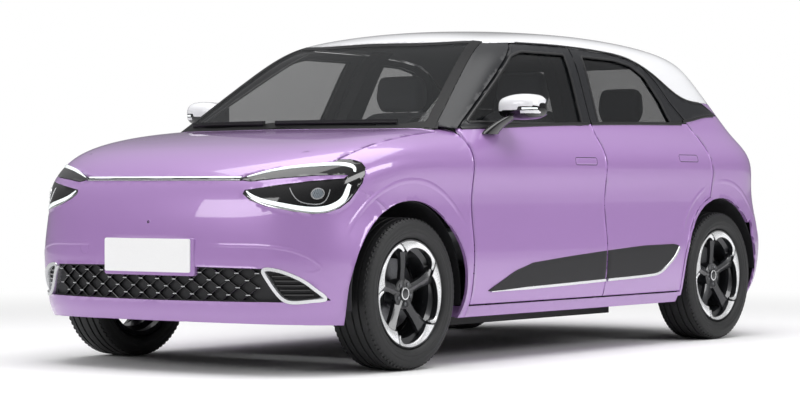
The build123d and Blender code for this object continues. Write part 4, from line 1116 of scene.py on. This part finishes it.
barrel_wall = 7
barrel = [
    (rim_half, rim_radius - 3), (rim_half - 4, rim_radius), (rim_half - 9, rim_radius - 2),
    (rim_half - 13, bead_radius + 2), (rim_half - 35, bead_radius), (rim_half - 46, well_radius),
    (-30, well_radius), (-56, bead_radius), (13 - rim_half, bead_radius + 2),
    (9 - rim_half, rim_radius - 2), (4 - rim_half, rim_radius), (-rim_half, rim_radius - 3),
    (6 - rim_half, bead_radius - 6), (-54, bead_radius - barrel_wall), (-28, well_radius - barrel_wall),
    (rim_half - 44, well_radius - barrel_wall), (rim_half - 32, bead_radius - barrel_wall),
    (rim_half - 6, bead_radius - 6),
]
disc = [(-6, -120), (-6, -2), (-8, 0), (-14, 0), (-15, -8), (-20, -8), (-21, 0), (-26, 0), (-28, -2),
        (-28, -120)]
disc = [(across, disc_radius + out) for across, out in disc]
centre = [(-30, 26), (58, 26), (60, 60), (56, 66), (30, 70), (-4, 62), (-30, 58)]
cap = [(56, 0), (66.5, 0), (66.3, 20), (65.2, 27), (62, 30), (56, 30)]
cap_ring = [(66.1, 21.5), (67, 22.5), (66.6, 25.5), (65, 26.5), (64, 24)]
wheel_parts = [(*lathe(barrel), 0), (*lathe(disc), 2), (*lathe(centre, 60), 0),
               (*lathe(cap, 48, False), 0), (*lathe(cap_ring, 48), 1)]
bolt = [(54, 0), (61, 0), (62.5, 4), (62.5, 8), (60, 9.5), (54, 9.5)]
bolt_circle = 44
# Each spoke has a bright-edged upper facet and a dark lower one, and leans as it goes out. Its
# section is given as (outboard, share of its half width).
spoke_section = ((-26, 1), (-9, 0.98), (-2, 0.55), (1.5, 0.3), (-3, -0.25), (-12, -0.95), (-30, -1),
                 (-34, 0))
# A crescent is thick at one spoke and thins to a hook that hugs the next. Its edges run through
# (degrees from the spoke, share of the rim's radius).
crescent_outer = curve_through(
    [(11.0, 0.968), (4, 0.972), (-12, 0.974), (-28, 0.974), (-44, 0.974), (-54, 0.972), (-58.5, 0.962),
     (-60.5, 0.93), (-63, 0.87), (-64.5, 0.815)], 40)
crescent_inner = curve_through(
    [(0.8, 0.77), (-5, 0.806), (-14, 0.846), (-26, 0.88), (-38, 0.906), (-47, 0.918), (-53, 0.914),
     (-57, 0.885), (-60, 0.84), (-62, 0.80)], 40)
edge = 0.12
for step in range(spoke_count):
    turn = first_spoke + 360 / spoke_count * step
    places, faces = lathe(bolt, 6, False)
    wheel_parts.append((places + polar(0, bolt_circle, turn + 180 / spoke_count), faces, 2))
    spoke, crescent, ledge = [], [], []
    for share in np.linspace(0, 1, 14):
        radius = 34 + share * (bead_radius - 30)
        middle = turn - 5 + 4 * share
        half = np.degrees((27 - 6 * np.sin(pi * min(share * 1.25, 1)) + 14 * share**4) / radius)
        high = 60 + 22 * share**1.3
        spoke.append([polar(high + up, radius, middle + half * aside) for up, aside in spoke_section])
    for (a, r), (b, q) in zip(crescent_outer, crescent_inner):
        a, b = turn + a, turn + b
        r, q = r * rim_radius, q * rim_radius
        crescent.append([
            polar(80, r, a), polar(90.5, r, a), polar(92, r + (q - r) * edge, a + (b - a) * edge),
            polar(90, q + (r - q) * edge, b + (a - b) * edge), polar(88.5, q, b), polar(76, q, b),
        ])
        # A black ledge under each crescent carries it on the rim.
        r, q = 0.99 * rim_radius, q - 2
        ledge.append([polar(72, r, a), polar(88.5, r, a), polar(87.5, q, b), polar(70, q, b)])
    wheel_parts += [(*loft(spoke), 0), (*loft(crescent), 1), (*loft(ledge), 0)]
caliper_section = ((10, 98), (16, 118), (14, 156), (-40, 160), (-46, 120), (-32, 104))
caliper = loft([[polar(*place, turn) for place in caliper_section]
                for turn in np.linspace(-26, 26, 12)])

# Tyres
# Moulded rubber. The tread has four round grooves and small shoulder blocks, and the side
# has a rib that guards the rim and fine rings where the sidewall bulges.
tyre_half = 107.5
tyre_radius = 324
sipe_count = 78
rubber_tyre, tree = material("moulded_tyre_rubber")
pore = relief(tree, texture(tree, "Noise", 600.0), 0.2, 0.0004)
dust = blend(tree, texture(tree, "Noise", 35.0, 6.0), "131314", "1F2021")
principled(tree, dust, {"Roughness": 0.58, "Normal": pore})
bead_line = [(-14, bead_radius + 3), (-13.5, 234), (-4, 236), (1, 239), (5, 244), (8, 247), (9, 250),
             (11.5, 256)]
bulge_line = [(-1.2, 264), (-1.8, 265), (-0.6, 268), (0, 276), (-0.4, 284), (-1.4, 285), (-1.6, 287),
              (-2.4, 296), (-4, 300), (-7, 306), (-12, 312), (-17, 315)]
side_wall = [(rim_half + out, radius) for out, radius in bead_line]
side_wall += [(tyre_half + out, radius) for out, radius in bulge_line]
groove_depth = 7
groove_centres = (22, 58)
groove_half = 5


def crown_at(across):
    """The tread's radius, which falls a little towards its shoulders."""
    return tyre_radius - 0.2 - 4 * (across / 90) ** 2.2


crown_line = [(across, crown_at(across)) for across in np.linspace(84, 0, 15)]
for groove in groove_centres:
    crown_line = [(u, r) for u, r in crown_line if abs(u - groove) > groove_half + 0.5]
    top = crown_at(groove)
    crown_line += [(groove + groove_half, top), (groove + 3.6, top - groove_depth),
                   (groove - 3.6, top - groove_depth), (groove - groove_half, top)]
crown_line.sort(reverse=True)
outboard = side_wall + [(88, tyre_radius - 10.5)] + [(u, r) for u, r in crown_line if u > 0]
lining = [(57, 236), (85, 262), (85, 290), (71, 306), (0, 310)]
profile = outboard + [(0, tyre_radius - 0.2)] + [(-u, r) for u, r in outboard[::-1]]
profile += [(-u, r) for u, r in lining[:-1]] + lining[::-1]
tyre_body = lathe(profile, 120)
block = [(tyre_half - 4.5, 301, 5.0), (tyre_half - 8, 309, 5.6), (tyre_half - 15, 315.8, 6),
         (92, 319.2, 6.2), (82, 320.9, 6.2), (66.5, 321.6, 6.2)]
block = loft([[(u, wide, r), (u, -wide, r), (u - 3, -wide, r - 6), (u - 3, wide, r - 6)]
              for u, r, wide in block])

for end, axle in (("front", front_axle), ("rear", rear_axle)):
    for hand, sign in hands:
        hub = np.array([wheel_x, axle, hub_height])
        body = f"{end}_wheel_{hand}"
        placed = on_hand([(places + hub, faces, finish) for places, faces, finish in wheel_parts], sign)
        piece = weld(f"{end}_alloy_{hand}", body, [alloy, machined, iron], placed,
                     crease=32)
        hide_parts(f"{end}_wheel_{hand}")
        placed = on_hand([(tyre_body[0] + hub, tyre_body[1], 0)], sign)
        tyre = weld(f"{end}_tyre_{hand}_moulded", body, [rubber_tyre], placed, crease=50)
        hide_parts(f"{end}_tyre_{hand}")
        frames = []
        for step in range(sipe_count):
            turn = tau * step / sipe_count
            for face in (1, -1):
                out = np.array([0, cos(turn), sin(turn)])
                frames.append((hub * (sign, 1, 1), (face, 0, 0), np.cross(out, (face, 0, 0))))
        copies(f"{end}_tread_{hand}", body, rubber_tyre, block, frames)
        # The front caliper sits ahead of its disc on the knuckle, the rear one behind on the body.
        name, body, ahead = (f"caliper_{hand}", f"knuckle_{hand}", -1) if end == "front" else (
            f"caliper_rear_{hand}", "body", 1)
        placed = on_hand([(caliper[0] * (1, ahead, 1) + hub, caliper[1], 0)], sign)
        weld(name, body, [alloy], placed)

# Door mirrors
# A white cap over a gloss black shell and stalk, with a lit repeater in a slot at its outer
# end and the silvered glass set in its tail side.
mirror_glass = patterned("silvered_mirror_glass", "B9C0C6", {"Metallic": 1.0}, "Noise", 4.0,
                         rough=(0.02, 0.04))
mirror_y = door_lead + 320
# Each station is (out from the middle of the car, place along, height, half length, half height).
mirror_stations = [(829, 0, 1127, 44, 30), (834, 0, 1128, 60, 42), (862, -1, 1129, 71, 51),
                   (905, -3, 1130, 76, 57), (950, -3, 1131, 75, 57), (985, 0, 1131, 70, 53),
                   (1006, 4, 1130, 59, 44), (1016, 8, 1129, 44, 32), (1021, 10, 1129, 22, 15)]
cap_foot = 1112
slot_height = 1122
slot_start = 945
cap_rise = 1.2
cap_sink = -2.0
fine = 176


def squared(ring, power):
    """A circle drawn towards a rounded square."""
    return np.sign(ring) * np.abs(ring) ** power


def mirror_ring(station, grow, count):
    """A rounded section, blunter towards the tail side where the glass is."""
    out, along, level, long, high = station
    y, z = circle(count).T
    y = squared(y, np.where(y > 0, 0.45, 0.75))
    return np.stack([np.full(count, float(out)), mirror_y + along + (long + grow) * y,
                     level + (high + grow) * squared(z, 0.72)], -1)


def evenly(run, count):
    """Places spread evenly along a list of places."""
    at = np.linspace(0, len(run) - 1, count)
    return np.stack([np.interp(at, np.arange(len(run)), column) for column in run.T], -1)


def skin_row(outer, inner, chosen, count):
    """A closed row over the chosen places of a ring, with its under side."""
    return np.vstack([evenly(outer[chosen], count), evenly(inner[chosen], count)[::-1]])


stations = np.array(mirror_stations, float)
at = np.linspace(0, len(stations) - 1, 41)
stations = np.stack([guide(list(enumerate(column)))(at) for column in stations.T], -1)
shell = [mirror_ring(station, 0.0, 44) for station in stations]
# The cap is a thin skin over the shell's upper and nose sides.
cap_rows = []
for station in stations[2:-1]:
    outer, inner = (mirror_ring(station, grow, 88) for grow in (cap_rise, cap_sink))
    foot = slot_height + 8 if station[0] > slot_start else cap_foot
    hold = (outer[:, 2] > foot) & (outer[:, 1] < mirror_y + station[1] + station[3] * 0.84)
    chosen = np.where(hold)[0]
    first = chosen[np.argmax(outer[chosen, 1])]
    order = sorted(chosen, key=lambda k: (k - first) % len(outer))
    cap_rows.append(skin_row(outer, inner, order, 26))
# The lower blade of the cap closes the slot from below.
blade_rows = []
for station in stations[21:-2]:
    outer, inner = (mirror_ring(station, grow, fine) for grow in (cap_rise, cap_sink))
    level = outer[:, 2] - slot_height
    chosen = np.where((level < -8) & (level > -22) & (outer[:, 1] < mirror_y))[0]
    if len(chosen) > 1:
        blade_rows.append(skin_row(outer, inner, chosen, 6))
repeater = []
for station in stations[22:-3]:
    ring = mirror_ring(station, 0.6, fine)
    front = ring[ring[:, 1] < mirror_y]
    low, high = (front[np.argmin(np.abs(front[:, 2] - slot_height - side * 3.5))] for side in (-1, 1))
    repeater.append([low, high, high + (0, 4, 0), low + (0, 4, 0)])
# The glass stands in the tail side.
glass_rows = []
for out, along, level, long, high in stations[6:33:2]:
    tail, high = mirror_y + along + long, high * 0.8
    glass_rows.append([(out, tail + 1.0, level - high), (out, tail + 1.0, level + high),
                       (out, tail - 4, level + high), (out, tail - 4, level - high)])
stalk = []
for share in np.linspace(0, 1, 12):
    ring = squared(circle(24), 0.7) * (50 - 10 * share, 26 - 6 * share)
    stalk.append(np.stack([834 + 62 * share - 6 * np.sin(pi * share) + ring[:, 1],
                           door_lead + 186 + 92 * share**1.4 + ring[:, 0],
                           np.full(24, 1008 + 82 * share)], -1))
parts = [(*loft(rows), finish) for rows, finish in (
    (shell, 1), (cap_rows, 0), (blade_rows, 0), (repeater, 2), (glass_rows, 3), (stalk, 1))]
for hand, sign in hands:
    piece = weld(f"mirror_shell_{hand}", f"front_door_{hand}",
                 [enamel, gloss_black, guide_white, mirror_glass], on_hand(parts, sign), crease=45)
    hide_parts(f"mirror_{hand}")

# Windscreen band and wipers
# A black ceramic band is fired onto the edge of the windscreen. Two wipers lie at its foot.
ceramic = patterned("fired_ceramic_band", "0C0C0E", {"Specular IOR Level": 0.15}, "Noise", 25.0,
                    rough=(0.38, 0.46))
screen_edge = [(0, front_axle + 878), (355, front_axle + 916), (533, front_axle + 1004)]
screen_side = [(533, front_axle + 1004), (736, cowl_set + 142)]
screen_low = [(736, cowl_set + 142), (524, cowl_set + 33), (0, cowl_set - 2)]
band_parts = []
for points, half, inward in ((screen_edge, 20, (0, -19)), (screen_side, 24, (-24, -6)),
                             (screen_low, 26, (0, 34))):
    run = curve_through(points, 50) + inward
    band_parts.append(drawn(on_top, run, half, 0.7, sink=1, crown=((-1, 1), (1, 1))))
weld("windscreen_band", "body", [ceramic], both_sides(band_parts))

wiper_parts = []
blade = slice(12, 40)
arm = slice(0, 28)
for pivot, tip in ((560, -60), (-130, -640)):
    share = np.linspace(0, 1, 40)
    x = pivot + (tip - pivot) * share
    place, way = on_top(x, cowl_set + 30 + 0.00026 * x * x)
    wiper_parts.append((*strip(place[blade], way[blade], 5, 10, sink=2), 0))
    wiper_parts.append((*strip(place[arm] + way[arm] * 2, way[arm], 9 - 4 * share[arm], 9, sink=0), 0))
weld("wiper_arms", "body", [rubber], wiper_parts)

# Front seats
# Foam pads under knitted cloth, on steel runners. The bolsters stand up at both sides, and
# sewn channels cross the middle of each pad.
cloth, tree = material("knitted_seat_cloth")
warp = texture(tree, "Wave", 90.0, bands_direction="X")
weft = texture(tree, "Wave", 90.0, bands_direction="Z")
weave = put(tree, "ShaderNodeMath", {0: warp, 1: weft}, operation="MULTIPLY").outputs[0]
principled(tree, blend(tree, weave, "76777C", "9A9BA0"), {
    "Roughness": 0.85, "Sheen Weight": 0.4, "Normal": relief(tree, weave, 0.4, 0.0008)})
seat_x = 365
seat_y = door_split - 100
floor_top = 236


def pad(outline, half, centre_x, bolster=18, channels=5, stations=33, count=72):
    """A crowned pad: a side-view outline drawn in at both flanks, with sewn channels."""
    outline = np.array(outline, float)
    ring = outline_run(outline, spacing=12, corner=26)
    at = np.linspace(0, len(ring), count, endpoint=False)
    looped = np.vstack([ring, ring[:1]])
    ring = np.stack([np.interp(at, np.arange(len(looped)), column) for column in looped.T], -1)
    middle = ring.mean(0)
    size = np.ptp(ring, axis=0)
    sections = []
    run = ring[:, 1] if size[1] > size[0] else ring[:, 0]
    groove = 4 * np.exp(-((np.sin(pi * channels * (run - run.min()) / np.ptp(run)) / 0.22) ** 2))
    out = ring - middle
    reach = np.linalg.norm(out, axis=1)[:, None]
    facing = out[:, 1] > 0 if size[0] > size[1] else out[:, 0] < 0
    for u in np.linspace(-1, 1, stations):
        aside = abs(u)
        draw = 1 - 0.28 * aside**8 - 0.02 * u * u
        rise = np.clip((aside - 0.55) / 0.3, 0, 1) ** 2 - np.clip((aside - 0.86) / 0.14, 0, 1) ** 2
        seam = 5 * np.exp(-(((aside - 0.56) / 0.03) ** 2))
        shift = (bolster * rise - seam - groove * (aside < 0.54)) * facing - bolster
        placed = middle + out * draw + out / reach * shift[:, None] * draw
        sections.append(np.column_stack([np.full(count, centre_x + u * half), placed]))
    return loft(sections)


driver_cushion = [(seat_y - 430, 400), (seat_y - 440, 530), (seat_y - 380, 575), (seat_y + 40, 540),
                  (seat_y + 60, 400)]
driver_back = [(seat_y + 20, 430), (seat_y - 20, 580), (seat_y + 120, 1165), (seat_y + 215, 1165),
               (seat_y + 150, 430)]
driver_head = [(seat_y + 150, 1145), (seat_y + 112, 1210), (seat_y + 140, 1335), (seat_y + 215, 1335),
               (seat_y + 240, 1210), (seat_y + 205, 1145)]
parts = [(*pad(driver_cushion, 250, seat_x), 0), (*pad(driver_back, 230, seat_x, channels=7), 0),
         (*pad(driver_head, 128, seat_x, bolster=5, channels=1, stations=17), 0)]
for across in (-46, 46):
    places, faces = lathe([(0, 0), (0, 6), (150, 6), (150, 0)], 12, False)
    parts.append((places[:, [1, 2, 0]] + (seat_x + across, seat_y + 178, 1040), faces, 1))
for across in (-190, 190):
    places, faces = bar((440, 36, 170), 4)
    parts.append((places[:, [1, 0, 2]] + (seat_x + across, seat_y - 180, floor_top + 85), faces, 2))
for hand, sign in hands:
    seat = weld(f"front_seat_pads_{hand}", "body", [cloth, iron, grained],
                on_hand(parts, sign), crease=60)
    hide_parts("front_seats")

# Rear bench
# One cushion and one back across the car, in the same cloth, with two head restraints.
bench_y = rear_axle - 250
bench_cushion = [(bench_y - 460, floor_top + 4), (bench_y - 480, 520), (bench_y - 430, 575),
                 (bench_y - 20, 545), (bench_y + 40, 471), (bench_y - 82, 471),
                 (bench_y - 192, floor_top + 4)]
bench_back = [(bench_y + 20, 471), (bench_y - 10, 570), (bench_y + 110, 1110), (bench_y + 200, 1110),
              (bench_y + 150, 471)]
bench_head = [(y + bench_y - seat_y - 16, z - 50) for y, z in driver_head]
bench_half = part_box("rear_seat")[1].x * 1000
parts = [(*pad(bench_cushion, bench_half, 0, channels=4), 0),
         (*pad(bench_back, bench_half, 0, channels=6), 0)]
for across in (330, -330):
    parts.append((*pad(bench_head, 110, across, bolster=4, channels=1, stations=17), 0))
bench = weld("rear_bench_pads", "body", [cloth], parts, crease=60)
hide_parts("rear_seat")

# Dashboard fittings
# A screen stands over the middle of the dashboard, with an instrument hood and air vents.
screen_glass = patterned("display_cover_glass", "07080A", {"Coat Weight": 0.5}, "Noise", 12.0,
                         rough=(0.04, 0.12))
parts = [(*slab((300, 170, 14), (0, door_lead + 262, 1000), 14, 1), 0),
         (*slab((230, 90, 20), (seat_x, door_lead + 240, 1000), 20, 1), 0)]
for across in (-600, -190, 190, 600):
    for row in range(5):
        places, faces = bar((120, 18, 5), 1)
        parts.append((places + (across, door_lead + 268, 868 + 12 * row), faces, 1))
weld("dashboard_fittings", "body", [screen_glass, gloss_black], parts)

# Tail lamps
# Red acrylic lenses moulded over a darker bowl.
red = patterned("red_acrylic", ("7A0A10", "A8121A"),
                {"Roughness": 0.12, "Coat Weight": 1.0, "Coat Roughness": 0.02}, "Wave", 30.0,
                bands_direction="Z")
dress("tail_lamps", "body", [red], snap=7)
# Two lines of light guide run across each lens, unlit.
glow = patterned("red_light_guide", ("C8141C", "E85048"), {"Roughness": 0.2, "Coat Weight": 0.8},
                 "Voronoi", 120.0)
tail_parts = [drawn(on_tail, curve_through(line, 40), 5.5, 2.2) for line in (
    [(590, 972), (695, 972), (762, 948), (800, 896)], [(590, 884), (716, 865), (795, 880)])]
weld("tail_lamp_guides", "body", [glow], both_sides(tail_parts))

# Tailgate fittings
# A blank plate in a shallow black tray with a pull over it, the rear wiper on its hub, and the
# upper brake light, which lies in the white panel above the pane.
tail_plate_height = 790
tray_half = (290, 96)
low = [(x, tail_plate_height - tray_half[1]) for x in (-tray_half[0], 0, tray_half[0])]
high = [(x, z + 2 * tray_half[1]) for x, z in low]
plate_y = on_tail(0.0, tail_plate_height - 70.0)[0][1] + 7
places, faces = bar((430, 26, 20), 3)
pull_place = on_tail(0.0, tail_plate_height + 104.0)[0] + (0, 2, 0)
wiper_level = 1085
along = np.linspace(0, 400, 30)
place, way = on_tail(-along, wiper_level + 3 + along * 0.045)
hub_end = slice(0, 17)
arm_place, arm_way = on_tail(-along[hub_end], wiper_level + along[hub_end] * 0.045)
parts = [
    (*sheet(low, high, on_tail, 2.0, counts=(60, 10), ease=0.06), 0),
    (*slab((440, 140, 10), (0, plate_y, tail_plate_height), 9, 1), 1),
    (places[:, [0, 2, 1]] + pull_place, faces, 2),
    (*strip(place, way, 5, 14, sink=0), 3),
    (*strip(arm_place + arm_way[0] * 8, arm_way, 10 - along[hub_end] * 0.02, 12, sink=2), 3),
    drawn(on_tail, circle(24) * 13 + (0, wiper_level), 11, 18, 3, closed=True),
    drawn(on_top, level_run(-170, 170, rear_axle - 10, 40), 9, 4, 4, sink=1),
]
weld("tailgate_fittings", "tailgate", [gloss_black, plate_white, bright, rubber, glow],
     parts)

# Rear bumper trim
# A grained valance along the foot of the bumper with two reflectors set over it.
valance_low = [(-640, 238), (-300, 236), (0, 236), (300, 236), (640, 238)]
valance_high = [(-600, 352), (-300, 372), (0, 376), (300, 372), (600, 352)]
parts = [drawn(on_tail, level_run(470, 620, 420, 24), 12, 3, 1)]
run = level_run(150, 560, 306, 50)
parts.append(drawn(on_tail, run - np.outer(run[:, 0] * 0.01, (0, 1)), 5, 6, 2))
valance = (*sheet(valance_low, valance_high, on_tail, 4.0, counts=(90, 8), ease=0.1), 0)
weld("rear_bumper_trim", "body", [grained, glow, bright], [valance] + both_sides(parts))

# Underbody and cabin
# The floor, the drive and what carries the wheels keep their CAD shapes, coated or cast. So do
# the liners, the cowl, the grille's tray, the dashboard and the steering wheel, all moulded.
steel = patterned("cast_and_pressed_steel", ("4A4A4C", "6E6E70"), {"Metallic": 0.8, "Roughness": 0.45},
                  "Noise", 90.0, 6.0)
chassis = patterned("chassis_coat", ("121214", "1E1E20"), {"Roughness": 0.55}, "Noise", 120.0, 3.0)
worn_by = {
    chassis: ("floor_pan", "front_structure", "battery_pack"),
    steel: ("drive_unit", "suspension", "knuckle_left", "knuckle_right"),
    grained: ("arch_liners", "cowl", "lower_grille", "dashboard", "steering_wheel"),
}
for finish, nodes in worn_by.items():
    for node in nodes:
        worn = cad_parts[node].data.materials
        worn.clear()
        worn.append(finish)
